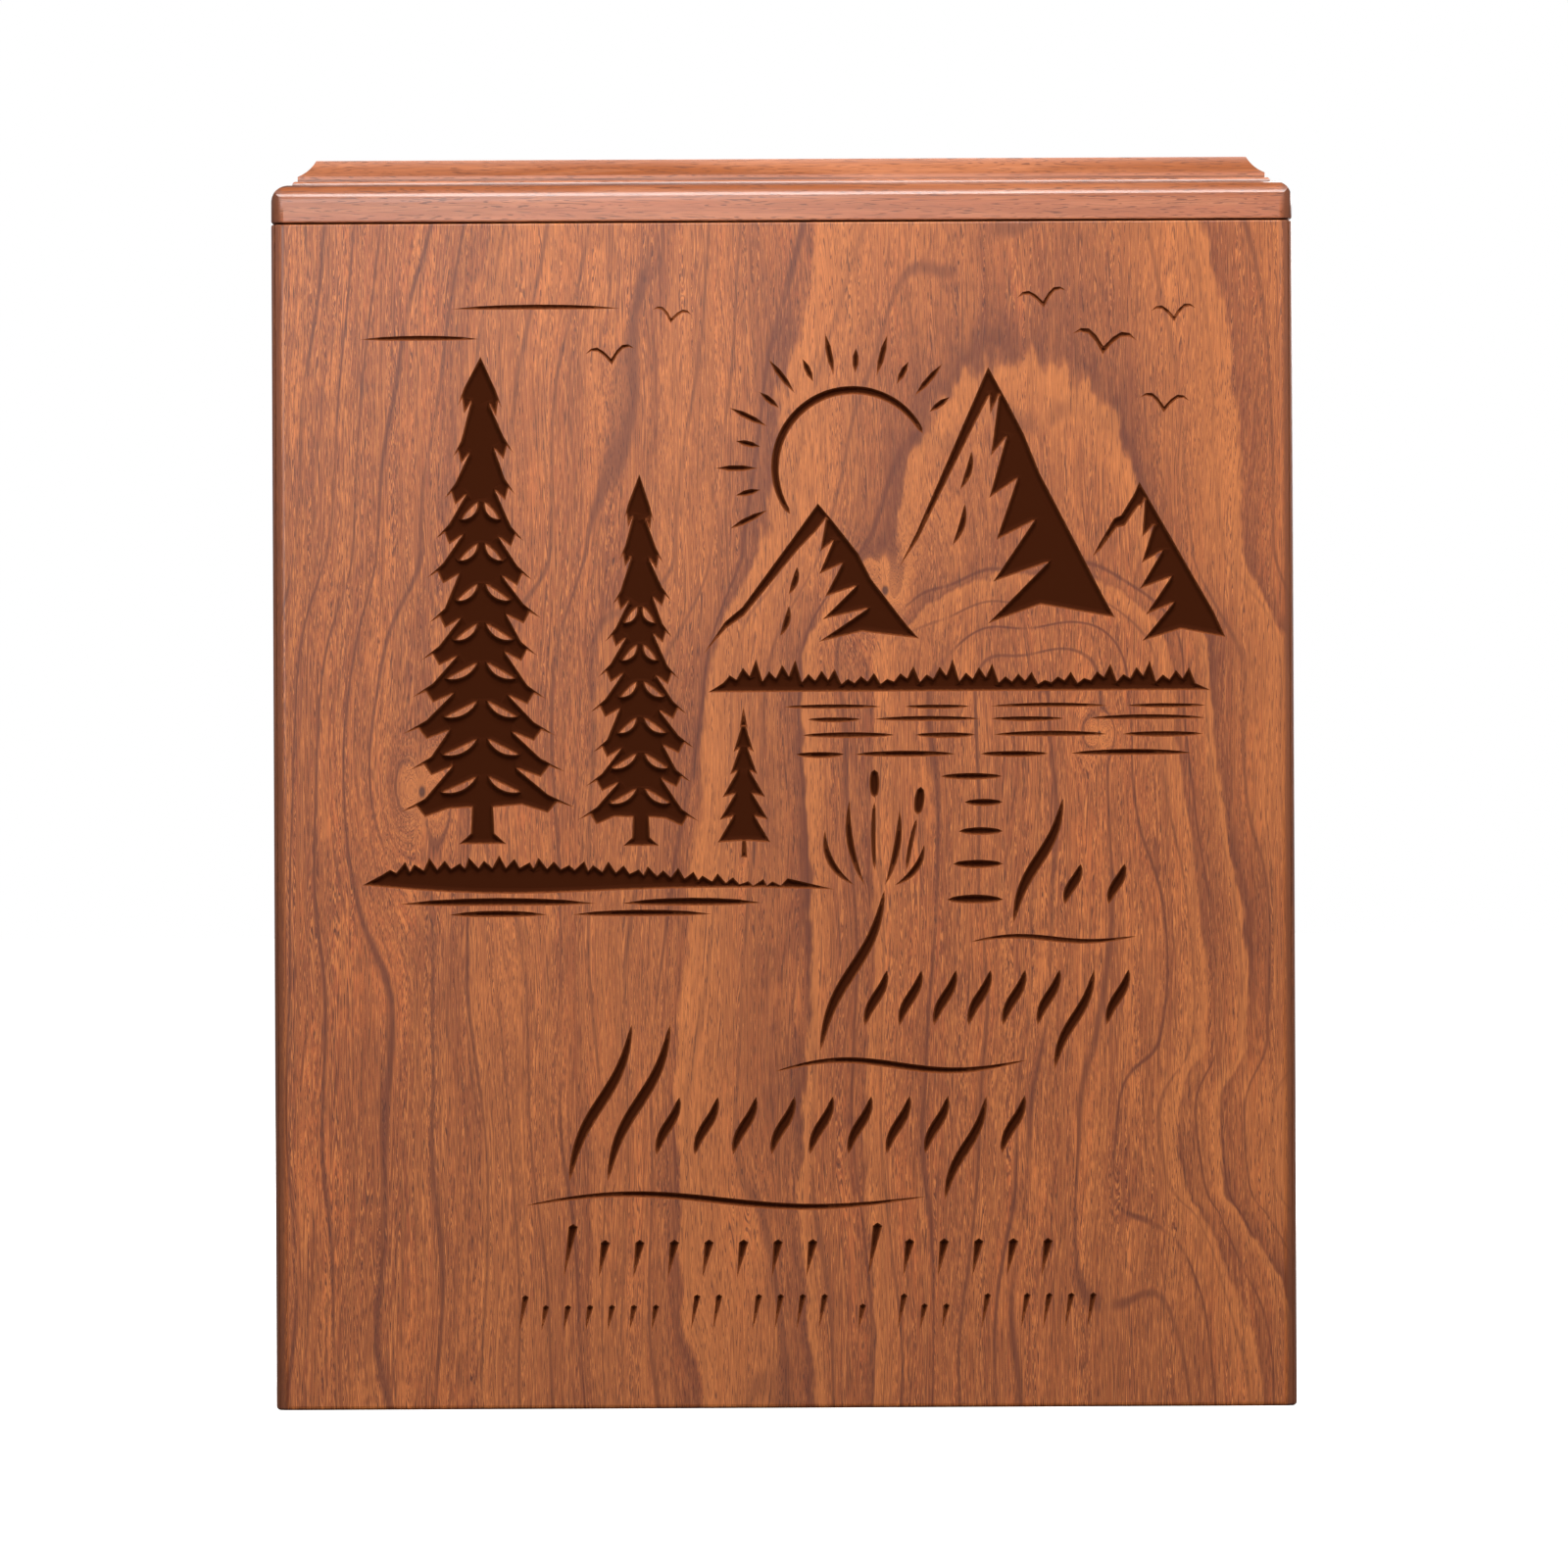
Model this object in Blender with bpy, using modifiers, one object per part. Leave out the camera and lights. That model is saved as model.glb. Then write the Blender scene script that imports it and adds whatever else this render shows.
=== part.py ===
"""Wooden cremation urn box: four mitred boards round a bottom board, with a moulded lift-off lid.

The front board is engraved with a lake scene and rows of strokes. Lengths are in metres, +Z is up,
the front faces -Y, and the origin is the middle of the underside.
"""

import math

import bmesh
import bpy

# The box
BOX_WIDTH = 0.2032
BOX_DEPTH = 0.1143
BODY_HEIGHT = 0.2360
WALL = 0.0127
CORNER_RADIUS = 0.0025
BASE_EASE = 0.0008
SEAM_EASE = 0.00035
JOINT_GAP = 0.0003

# The bottom board, which sits in a rebate of the four walls
BOTTOM_THICKNESS = 0.0095
REBATE_WIDTH = 0.00635

# The lid's tongue, which drops into the mouth of the box
TONGUE_DEPTH = 0.00635
TONGUE_CLEARANCE = 0.0006

# The moulding round the lid, from its lower edge upwards
FACE_BAND = 0.0040
OVOLO_RADIUS = 0.0036
SHELF = 0.0005
BEAD_RADIUS = 0.0008
QUIRK = 0.0003
FILLET = 0.0010
COVE_RUN = 0.0036
COVE_RISE = 0.0033
COVE_SAG = 0.0004
LID_RISE = FACE_BAND + OVOLO_RADIUS + BEAD_RADIUS + FILLET + COVE_RISE

# The engraving, drawn in squares of a grid that covers the front board from the middle of its foot
ENGRAVING_DEPTH = 0.0010
SQUARES_ACROSS = 203.2
SQUARES_UP = 236.0

# How finely round shapes are cut into flats, and how far a cutter reaches past what it cuts
CORNER_STEPS = 5
MOULDING_STEPS = 5
STROKE_STEPS = 4
CUTTER_REACH = 0.002

GOLDEN_SHARE = 0.6180339887


def clear_scene():
    """Start from an empty scene."""
    for item in list(bpy.data.objects):
        bpy.data.objects.remove(item, do_unlink=True)
    for item in list(bpy.data.collections):
        bpy.data.collections.remove(item)


def new_collection(name):
    """A collection in the scene."""
    collection = bpy.data.collections.new(name)
    bpy.context.scene.collection.children.link(collection)
    return collection


def wood(name, red, green, blue, roughness):
    """A finished wood: its linear colour and roughness."""
    material = bpy.data.materials.new(name)
    material.use_nodes = True
    shader = material.node_tree.nodes["Principled BSDF"]
    shader.inputs["Base Color"].default_value = (red, green, blue, 1.0)
    shader.inputs["Roughness"].default_value = roughness
    shader.inputs["Metallic"].default_value = 0.0
    material.diffuse_color = (red, green, blue, 1.0)
    return material


def prism(name, outlines, height, collection, material=None):
    """A straight prism on flat outlines, centred on z = 0; an outline inside another leaves a hole."""
    curve = bpy.data.curves.new(name, "CURVE")
    curve.dimensions = "2D"
    curve.fill_mode = "BOTH"
    curve.extrude = height / 2
    for outline in outlines:
        spline = curve.splines.new("POLY")
        spline.points.add(len(outline) - 1)
        spline.use_cyclic_u = True
        for point, (x, y) in zip(spline.points, outline):
            point.co = (x, y, 0.0, 1.0)
    guide = bpy.data.objects.new(name + "_curve", curve)
    collection.objects.link(guide)
    depsgraph = bpy.context.evaluated_depsgraph_get()
    mesh = bpy.data.meshes.new_from_object(guide.evaluated_get(depsgraph))
    mesh.name = name
    shell = bmesh.new()
    shell.from_mesh(mesh)
    bmesh.ops.remove_doubles(shell, verts=shell.verts, dist=1e-6)
    bmesh.ops.recalc_face_normals(shell, faces=shell.faces)
    shell.to_mesh(mesh)
    shell.free()
    piece = bpy.data.objects.new(name, mesh)
    piece.matrix_world = guide.matrix_world
    collection.objects.link(piece)
    bpy.data.objects.remove(guide, do_unlink=True)
    bpy.data.curves.remove(curve)
    if material:
        mesh.materials.clear()
        mesh.materials.append(material)
    return piece


def box(name, size, centre, collection):
    """A plain box from a cube primitive."""
    mesh = bpy.data.meshes.new(name)
    shell = bmesh.new()
    bmesh.ops.create_cube(shell, size=1.0)
    bmesh.ops.scale(shell, vec=size, verts=shell.verts)
    shell.to_mesh(mesh)
    shell.free()
    piece = bpy.data.objects.new(name, mesh)
    piece.location = centre
    collection.objects.link(piece)
    return piece


def as_cutter(piece):
    """Show a shape as a wire guide only."""
    piece.display_type = "WIRE"
    piece.hide_render = True
    return piece


def shape_with(piece, operation, tool):
    """Cut a piece with another shape, or join that shape to it."""
    modifier = piece.modifiers.new(operation.title() + " " + tool.name, "BOOLEAN")
    modifier.operation = operation
    modifier.solver = "EXACT"
    modifier.object = tool


def ease_edges(piece, wanted):
    """Round the edges that wanted(edge) gives a width in metres."""
    shell = bmesh.new()
    shell.from_mesh(piece.data)
    weights = shell.edges.layers.float.new("bevel_weight_edge")
    widest = max(BASE_EASE, SEAM_EASE)
    for edge in shell.edges:
        edge[weights] = wanted(edge) / widest
    shell.to_mesh(piece.data)
    shell.free()
    modifier = piece.modifiers.new("Eased edges", "BEVEL")
    modifier.limit_method = "WEIGHT"
    modifier.width = widest
    modifier.segments = 2


def arc(centre, radius, start, end, steps):
    """Points along a circle's arc, with its ends in degrees."""
    angles = [math.radians(start + (end - start) * i / steps) for i in range(steps + 1)]
    return [(centre[0] + radius * math.cos(a), centre[1] + radius * math.sin(a)) for a in angles]


def board_outline(length):
    """Plan of a mitred board: its outer face lies on y = 0 and its outer corners are rounded."""
    half = length / 2
    setback = JOINT_GAP / 2
    inner = half - WALL - setback * math.sqrt(2)
    sweep = 45.0 - math.degrees(math.asin(setback / CORNER_RADIUS))
    centre = (half - CORNER_RADIUS, CORNER_RADIUS)
    right = arc(centre, CORNER_RADIUS, -90.0, -90.0 + sweep, CORNER_STEPS) + [(inner, WALL)]
    left = [(-x, y) for x, y in reversed(right)]
    return left + right


def make_board(name, length, distance, turn, collection, material):
    """A wall board, turned about the middle of the box, with its outer top and bottom edges eased."""
    board = prism(name, [board_outline(length)], BODY_HEIGHT, collection, material)
    angle = math.radians(turn)
    board.location = (distance * math.sin(angle), -distance * math.cos(angle), BODY_HEIGHT / 2)
    board.rotation_euler = (0.0, 0.0, angle)

    def ease(edge):
        level = all(abs(abs(v.co.z) - BODY_HEIGHT / 2) < 1e-6 for v in edge.verts)
        outer = any(face.normal.y < -0.5 for face in edge.link_faces)
        if not (level and outer):
            return 0.0
        return SEAM_EASE if edge.verts[0].co.z > 0 else BASE_EASE

    ease_edges(board, ease)
    return board


def make_walls(collection, cutters, veneer):
    """The four boards, with the rebate for the bottom board cut round their inner edge."""
    recess_size = (BOX_WIDTH - 2 * (WALL - REBATE_WIDTH), BOX_DEPTH - 2 * (WALL - REBATE_WIDTH),
                   2 * (BOTTOM_THICKNESS + JOINT_GAP))
    recess = as_cutter(box("bottom_recess", recess_size, (0.0, 0.0, 0.0), cutters))
    sides = (("front_board", BOX_WIDTH, BOX_DEPTH / 2, 0.0), ("right_board", BOX_DEPTH, BOX_WIDTH / 2, 90.0),
             ("back_board", BOX_WIDTH, BOX_DEPTH / 2, 180.0), ("left_board", BOX_DEPTH, BOX_WIDTH / 2, 270.0))
    walls = {}
    for name, length, distance, turn in sides:
        walls[name] = make_board(name, length, distance, turn, collection, veneer)
        shape_with(walls[name], "DIFFERENCE", recess)
    return walls


def make_bottom(collection, material):
    """The bottom board, flush with the underside, with a gap all round in its rebate."""
    inset = WALL - REBATE_WIDTH + JOINT_GAP
    size = (BOX_WIDTH - 2 * inset, BOX_DEPTH - 2 * inset, BOTTOM_THICKNESS)
    bottom = box("bottom_board", size, (0.0, 0.0, BOTTOM_THICKNESS / 2), collection)
    bottom.data.materials.append(material)
    return bottom


def lid_outline():
    """Plan of the lid: a rectangle with rounded corners, flush with the walls."""
    x, y = BOX_WIDTH / 2 - CORNER_RADIUS, BOX_DEPTH / 2 - CORNER_RADIUS
    corners = (((x, y), 0.0), ((-x, y), 90.0), ((-x, -y), 180.0), ((x, -y), 270.0))
    outline = []
    for centre, start in corners:
        outline += arc(centre, CORNER_RADIUS, start, start + 90.0, 2 * CORNER_STEPS)
    return outline


def moulding_waste():
    """The wood that the moulding takes off an edge: inset across, height above the lid's lower face up."""
    shelf = FACE_BAND + OVOLO_RADIUS
    fillet = shelf + BEAD_RADIUS
    cove = fillet + FILLET
    ovolo = arc((OVOLO_RADIUS, FACE_BAND), OVOLO_RADIUS, 180.0, 90.0, MOULDING_STEPS)
    bead_centre = OVOLO_RADIUS + SHELF + BEAD_RADIUS
    bead = arc((bead_centre, shelf), BEAD_RADIUS, 180.0, 90.0, MOULDING_STEPS - 2)
    quirk = bead_centre + QUIRK
    chord = math.hypot(COVE_RUN, COVE_RISE)
    hollow = []
    for i in range(MOULDING_STEPS + 1):
        t = i / MOULDING_STEPS
        sag = COVE_SAG * 4 * t * (1 - t) / chord
        hollow.append((quirk + COVE_RUN * t + COVE_RISE * sag, cove + COVE_RISE * t - COVE_RUN * sag))
    top = LID_RISE + CUTTER_REACH
    outside = [(hollow[-1][0], top), (-CUTTER_REACH, top), (-CUTTER_REACH, FACE_BAND)]
    return ovolo + bead + [(quirk, fillet)] + hollow + outside


def make_lid(collection, cutters, material):
    """The lid: one board with a moulded edge on all four sides and a tongue below."""
    foot = BODY_HEIGHT + JOINT_GAP
    lid = prism("lid", [lid_outline()], LID_RISE, collection, material)
    lid.location = (0.0, 0.0, foot + LID_RISE / 2)

    def ease(edge):
        low = all(v.co.z < 0 for v in edge.verts)
        return SEAM_EASE if low and any(abs(face.normal.z) < 0.5 for face in edge.link_faces) else 0.0

    ease_edges(lid, ease)
    inset = WALL + TONGUE_CLEARANCE
    root = FACE_BAND / 2
    size = (BOX_WIDTH - 2 * inset, BOX_DEPTH - 2 * inset, TONGUE_DEPTH + root)
    centre = (0.0, 0.0, foot + (root - TONGUE_DEPTH) / 2)
    shape_with(lid, "UNION", as_cutter(box("tongue", size, centre, cutters)))
    for side in range(4):
        across, away = (BOX_WIDTH, BOX_DEPTH) if side % 2 == 0 else (BOX_DEPTH, BOX_WIDTH)
        cutter = prism(f"moulding_{side + 1}", [moulding_waste()], across + 2 * CUTTER_REACH, cutters)
        angle = math.radians(90.0 * side)
        cutter.location = (away / 2 * math.sin(angle), -away / 2 * math.cos(angle), foot)
        cutter.rotation_euler = (math.radians(90.0), 0.0, math.radians(90.0) + angle)
        shape_with(lid, "DIFFERENCE", as_cutter(cutter))
    return lid


def scatter(index, low, high):
    """An irregular value between low and high, always the same for the same index."""
    return low + (high - low) * (index * GOLDEN_SHARE % 1.0)


def between(a, b, share):
    """The value that lies a share of the way from a to b."""
    return a + (b - a) * share


def bowed(start, end, bow=0.0, steps=STROKE_STEPS):
    """Points from start to end on a line that bends sideways by bow times its length."""
    (x0, y0), (x1, y1) = start, end
    points = []
    for i in range(steps + 1):
        t = i / steps
        side = bow * 4 * t * (1 - t)
        points.append((between(x0, x1, t) - (y1 - y0) * side, between(y0, y1, t) + (x1 - x0) * side))
    return points


def waved(start, end, lift, fade=0.0, steps=4 * STROKE_STEPS):
    """Points from start to end along one full wave, lift high at first and lower by fade at the end."""
    (x0, y0), (x1, y1) = start, end
    run = math.hypot(x1 - x0, y1 - y0)
    points = []
    for i in range(steps + 1):
        t = i / steps
        side = lift * math.sin(2 * math.pi * t) * (1 - fade * t) / run
        points.append((between(x0, x1, t) - (y1 - y0) * side, between(y0, y1, t) + (x1 - x0) * side))
    return points


def stroke(path, width, swell=0.8):
    """Outline of a cut along a path, widest in the middle and drawn out to a point at both ends."""
    left, right = [], []
    last = len(path) - 1
    for i, (x, y) in enumerate(path):
        (x0, y0), (x1, y1) = path[max(i - 1, 0)], path[min(i + 1, last)]
        run = math.hypot(x1 - x0, y1 - y0)
        half = width / 2 * math.sin(math.pi * i / last) ** swell
        nx, ny = (y0 - y1) / run * half, (x1 - x0) / run * half
        left.append((x + nx, y + ny))
        right.append((x - nx, y - ny))
    return left + right[-2:0:-1]


def slope(start, end, breaks, rough, seed):
    """Points of a rocky slope from start to end, with irregular breaks."""
    points = []
    for i in range(breaks + 1):
        inside = 0.0 if i in (0, breaks) else 1.0
        t = (i + inside * scatter(seed + 3 * i, -0.35, 0.35)) / breaks
        jag = inside * rough * scatter(seed + 5 * i, -1.0, 1.0)
        points.append((between(start[0], end[0], t), between(start[1], end[1], t) + jag))
    return points


def mountain(left, peak, right, seed, line, marks):
    """A peak: a bold skyline, a dark lee flank with a ragged snow line, and rock marks on the lit side."""
    rough = 0.9
    teeth = 6
    up = slope(left, peak, teeth, rough, seed)
    down = slope(peak, right, teeth + 1, rough, seed + 11)
    run, fall = right[0] - peak[0], peak[1] - right[1]
    snow_line = []
    for i in range(teeth):
        t = 1 - (i + 0.2) / teeth
        edge = peak[0] + run * t
        spur = edge - run * t * scatter(seed + i, 0.88, 1.02)
        snow_line.append((between(edge, spur, scatter(seed + 2 * i, 0.40, 0.58)), peak[1] - fall * (t - 0.02)))
        snow_line.append((spur, peak[1] - fall * (t + 0.055)))
    snow_line.append((peak[0] + 0.2, peak[1] - 2.6 * line))
    under = []
    for i, (x, y) in enumerate(reversed(up[1:-1])):
        t = (i + 1) / (len(up) - 1)
        under.append((x + 0.55 * line * (1 - t), y - line * (1.5 - 0.9 * t)))
    outlines = [up[:-1] + down + snow_line + under]
    rise = peak[1] - left[1]
    for i in range(marks):
        t = 0.42 + 0.52 * i / marks
        x = between(peak[0], left[0], t * scatter(seed + i, 0.30, 0.46))
        y = peak[1] - rise * t
        length = rise * scatter(seed + 2 * i + 1, 0.15, 0.22)
        outlines.append(stroke(bowed((x, y), (x - 0.3 * length, y - length), 0.08), 1.3))
    return outlines


def pine(x, base, height, reach, tiers):
    """A pine: drooping boughs in tiers on a short trunk, with bare lands left between the larger boughs."""
    crown = 0.93 * height
    top = base + height
    levels = [top - crown * (k / tiers) ** 0.9 for k in range(tiers + 1)]
    widths = [reach * (0.25 + 0.75 * (k / (tiers - 1)) ** 0.85) for k in range(tiers)]
    flanks = {1: [], -1: []}
    lands = []
    for side, flank in flanks.items():
        for k in range(tiers):
            pitch = levels[k] - levels[k + 1]
            turn = 2 * k + (side > 0) + 5 * tiers
            tip = side * widths[k] * scatter(turn, 0.86, 1.06)
            low = levels[k + 1] + pitch * scatter(turn + 3, -0.08, 0.08)
            flank.append((x + 0.70 * tip, low + 0.36 * pitch))
            flank.append((x + tip, low))
            flank.append((x + 0.80 * tip, low + 0.14 * pitch))
            flank.append((x + 0.70 * tip, low - 0.14 * pitch))
            flank.append((x + 0.42 * tip, low + 0.08 * pitch))
            if 3 <= k:
                inner = side * (0.07 * widths[k - 1] + 0.25)
                outer = side * widths[k - 1] * scatter(3 * k + (side > 0), 0.42, 0.52)
                start = (x + inner, levels[k + 1] + 0.86 * pitch)
                end = (x + outer, levels[k + 1] + 0.48 * pitch)
                lands.append(stroke(bowed(start, end, -0.08 * side), 0.14 * pitch))
    trunk = 0.022 * height
    foot = [(x + trunk, levels[-1] + 0.5), (x + 1.1 * trunk, base + trunk), (x + 2.2 * trunk, base)]
    foot += [(2 * x - px, py) for px, py in reversed(foot)]
    outline = [(x, top)] + flanks[1] + foot + flanks[-1][::-1]
    return [outline] + lands


def sapling(x, base, height, reach, tiers):
    """A young pine: plain boughs that widen towards the ground."""
    right = []
    for k in range(tiers):
        share = (k + 1) / tiers
        low = base + height * (1 - 0.9 * share)
        right.append((x + reach * share * scatter(k, 0.85, 1.1), low))
        right.append((x + 0.45 * reach * share, low + 0.6))
    right[-1] = (x + 0.4, base + 0.11 * height)
    right.append((x + 0.6, base))
    return [(x, base + height)] + right + [(2 * x - px, py) for px, py in reversed(right)]


def treeline(left, right, base, low, high, pitch):
    """A far wood: a row of spires on a level shore."""
    count = round((right - left) / pitch)
    shore = base + 0.8
    outline = [(left - 3.0, base)]
    for i in range(count):
        x = between(left, right, (i + 0.5) / count)
        rise = scatter(7 * i + 2, low, high) * (0.75 + 0.25 * math.sin(0.45 * i))
        outline.append((x - 0.5 * pitch, shore + 0.42 * rise))
        outline.append((x, shore + rise))
    return outline + [(right, shore + 0.6), (right + 3.0, base)]


def sun(centre, radius, start, end, rays, line):
    """A rising sun: an open ring with long and short rays round it; start and end are in degrees."""
    outlines = [stroke(arc(centre, radius, start, end, 5 * STROKE_STEPS), line, 0.2)]
    near = radius + 2 * line
    for k in range(rays):
        angle = math.radians(between(start + 10, end - 10, k / (rays - 1)))
        far = near + (8.5 if k % 2 else 5.0)
        inner, outer = [(centre[0] + r * math.cos(angle), centre[1] + r * math.sin(angle)) for r in (near, far)]
        outlines.append(stroke(bowed(inner, outer, 0.0, 3), 0.75 * line, 0.6))
    return outlines


def bird(x, y, span, tilt):
    """A bird in flight: two raised wings that meet in a dipped body; tilt is in degrees."""
    upper, lower = [], []
    half_steps = 4
    for i in range(-half_steps, half_steps + 1):
        t = i / half_steps
        rise = 0.26 * span * math.sin(0.82 * math.pi * abs(t))
        upper.append((t * span / 2, rise))
        if abs(i) < half_steps:
            lower.append((t * span / 2, rise - span * (0.11 * (1 - abs(t)) ** 0.7 + 0.015)))
    c, s = math.cos(math.radians(tilt)), math.sin(math.radians(tilt))
    return [(x + c * px - s * py, y + s * px + c * py) for px, py in upper + lower[::-1]]


def bank(left, right, base, height, blades):
    """The near bank: turf with grass along its top that runs out to a point, and shade lines below."""
    pitch = (right - left) / blades
    turf = [(left - 4.0, base + 0.4)]
    for i in range(blades):
        t = i / blades
        x = between(left, right, t)
        y = base + height * math.sin(math.pi * min(1.0, 0.12 + t)) ** 0.6 * (1 - t) ** 0.5
        blade = scatter(i, 1.0, 3.0) * (1 - 0.5 * t)
        turf.append((x, y))
        turf.append((x + 0.45 * pitch + scatter(2 * i + 1, -0.5, 0.8), y + blade))
    turf.append((right + 8.0, base - 0.8))
    under_steps = 12
    for i in range(1, under_steps):
        t = 1 - i / under_steps
        turf.append((between(left, right, t), base - 1.2 * math.sin(math.pi * t) - 0.5 * math.sin(7 * t)))
    outlines = [turf]
    for row, spans in enumerate((((0.04, 0.52), (0.58, 0.92)), ((0.16, 0.40), (0.46, 0.80)))):
        y = base - 3.4 - 2.2 * row
        for low, high in spans:
            start, end = (between(left, right, low), y), (between(left, right, high), y)
            outlines.append(stroke(bowed(start, end, 0.01, 6), 1.6 - 0.3 * row, 0.5))
    return outlines


def reeds(x, base):
    """A tuft of reeds: four blades that spread from the foot, and two stems with seed heads."""
    outlines = []
    for dx, length, bow in ((-5.8, 11.0, 0.16), (-2.9, 17.0, 0.08), (2.9, 15.0, -0.06), (5.8, 8.0, -0.14)):
        outlines.append(stroke(bowed((x + 0.7 * dx, base), (x + 1.7 * dx, base + length), bow), 1.4))
    for dx, length in ((0.0, 23.0), (8.4, 19.5)):
        top = base + length
        outlines.append(stroke(bowed((x + 0.75 * dx, base + 3.0), (x + dx, top - 6.4), 0.02), 0.9, 0.3))
        outlines.append(stroke(bowed((x + 1.02 * dx, top - 5.6), (x + 1.1 * dx, top)), 2.0, 0.35))
    return outlines


def ripples(near, far, rows, far_span, near_span, shore):
    """The water: rows of level strokes, bolder towards the viewer; far_span is its width above shore."""
    outlines = []
    count = 0
    for row in range(rows):
        t = row / (rows - 1)
        y = between(far, near, 0.45 * t + 0.55 * t * t)
        left, right = far_span if y > shore else near_span
        x = left + scatter(11 * row, 0.0, 6.0)
        while x < right - 6.0:
            count += 1
            length = min(scatter(count, 9.0, 26.0), right - x)
            path = bowed((x, y), (x + length, y), scatter(count, -0.012, 0.012))
            outlines.append(stroke(path, 0.9 + 0.9 * t, 0.5))
            x += length + scatter(3 * count, 1.8, 5.0)
    return outlines


def lake_scene():
    """Outlines of the picture on the upper part of the front."""
    outlines = []
    outlines += mountain((-16, 150), (7, 180), (27, 153), 3, 1.9, 2)
    outlines += mountain((23, 167), (41, 207), (66, 157), 8, 2.2, 2)
    outlines += mountain((61.5, 169), (71, 184), (88, 153), 14, 1.8, 0)
    outlines.append(treeline(-12, 82, 142.5, 2.5, 6.5, 2.6))
    outlines += sun((14, 187), 15.5, 26, 216, 14, 1.7)
    outlines += pine(-60, 112.5, 97, 17.6, 11)
    outlines += pine(-28.5, 112, 74, 12.6, 9)
    outlines.append(sapling(-8, 109.6, 30, 6.0, 6))
    outlines += bank(-80, 2, 104, 4.6, 30)
    outlines += reeds(18, 104)
    outlines += ripples(101, 139.5, 9, (0, 84), (30, 43.5), 127.5)
    for x, y, span, tilt in ((52, 220, 10, 8), (64, 211, 13, -6), (78, 217, 9, 4), (76, 199, 10, -4),
                             (-34, 209, 10, 6), (-22, 217, 8, -8)):
        outlines.append(bird(x, y, span, tilt))
    for x, y, length in ((-66, 219, 34), (-84, 213, 24)):
        outlines.append(stroke(bowed((x, y), (x + length, y), 0.01, 6), 1.0, 0.5))
    return outlines


def slanted_row(start, end, base, tall, short, marks):
    """A row of slanted, slightly waved strokes: T is a tall one, d drops below the row, and s is short."""
    lean = math.tan(math.radians(22.0))
    outlines = []
    for i, mark in enumerate(marks):
        x = between(start, end, i / (len(marks) - 1))
        low = {"T": -0.45, "d": -0.8, "s": 0.0}[mark] * short
        high = tall if mark == "T" else short
        ends = (x + low * lean, base + low), (x + high * lean, base + high)
        width, steps = (2.3, 2 * STROKE_STEPS) if mark == "T" else (2.1, STROKE_STEPS + 2)
        outlines.append(stroke(waved(*ends, 0.035 * (high - low), 0.0, steps), width, 0.6))
    return outlines


def wedge_row(start, end, base, groups, tall, short, width):
    """A row of wedge-shaped ticks in groups: T is a tall one and s a short one."""
    group_gap = 0.8
    steps = sum(len(group) for group in groups) - 1 + group_gap * (len(groups) - 1)
    pitch = (end - start) / steps
    outlines = []
    x = start
    for group in groups:
        for mark in group:
            high = tall if mark == "T" else short
            lean = 0.16 * high
            top = base + high
            outlines.append([(x - width / 2 + lean, top), (x + lean, top + 0.35 * width),
                             (x + width / 2 + lean, top), (x - 0.2 * lean, base)])
            x += pitch
        x += group_gap * pitch
    return outlines


def stroke_rows():
    """Outlines of the rows of strokes on the lower part of the front."""
    outlines = []
    outlines += slanted_row(47, 64.5, 100, 21, 8, "Tss")
    outlines.append(stroke(waved((37, 92.6), (70, 93.6), 0.9, 0.3), 1.1, 0.6))
    outlines += slanted_row(9, 64, 76, 27, 11, "Tssssssds")
    outlines.append(stroke(waved((-2, 67), (48, 69), 1.8, 0.3), 1.4, 0.6))
    outlines += slanted_row(-41, 43, 50.5, 26, 11.5, "TTssssssssds")
    outlines.append(stroke(waved((-52, 40.5), (28, 42), 2.0, 0.3), 1.4, 0.6))
    outlines += wedge_row(-44, 51, 26, ("Tsssssss", "Tsssss"), 10.2, 7.0, 1.9)
    outlines += wedge_row(-53, 60, 15.5, ("Tssssss", "TT", "TTTT", "s", "Tss", "T", "TTTT"), 6.8, 4.8, 1.3)
    return outlines


def engrave(board, cutters):
    """Sink the drawing into the front board to an even depth."""
    across, up = BOX_WIDTH / SQUARES_ACROSS, BODY_HEIGHT / SQUARES_UP
    outlines = [[(x * across, y * up) for x, y in outline] for outline in lake_scene() + stroke_rows()]
    cutter = as_cutter(prism("engraving", outlines, ENGRAVING_DEPTH + CUTTER_REACH, cutters))
    cutter.location = (0.0, (ENGRAVING_DEPTH - CUTTER_REACH - BOX_DEPTH) / 2, 0.0)
    cutter.rotation_euler = (math.radians(90.0), 0.0, 0.0)
    shape_with(board, "DIFFERENCE", cutter)


def main():
    clear_scene()
    collection = new_collection("cremation_urn_box")
    cutters = new_collection("cutters")
    walls_finish = wood("satin_rosewood_veneer", 0.402, 0.130, 0.054, 0.42)
    lid_finish = wood("satin_rosewood_lid", 0.480, 0.200, 0.105, 0.42)
    bottom_finish = wood("sealed_hardwood", 0.330, 0.140, 0.070, 0.60)
    walls = make_walls(collection, cutters, walls_finish)
    engrave(walls["front_board"], cutters)
    pieces = list(walls.values())
    pieces.append(make_bottom(collection, bottom_finish))
    pieces.append(make_lid(collection, cutters, lid_finish))
    origin = bpy.data.objects.new("middle_of_underside", None)
    collection.objects.link(origin)
    for piece in pieces:
        piece.parent = origin


main()
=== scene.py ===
"""Dresses the cremation urn box: veneered boards, a moulded lid and an engraved front, in a pale studio.

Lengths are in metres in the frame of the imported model, +Z is up, and the front faces -Y.
The drawing and the grain are laid out in millimetres across and up from the middle of the underside.
"""

import math

import bmesh
import bpy
import numpy as np
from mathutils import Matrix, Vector
from mathutils.geometry import delaunay_2d_cdt


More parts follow.
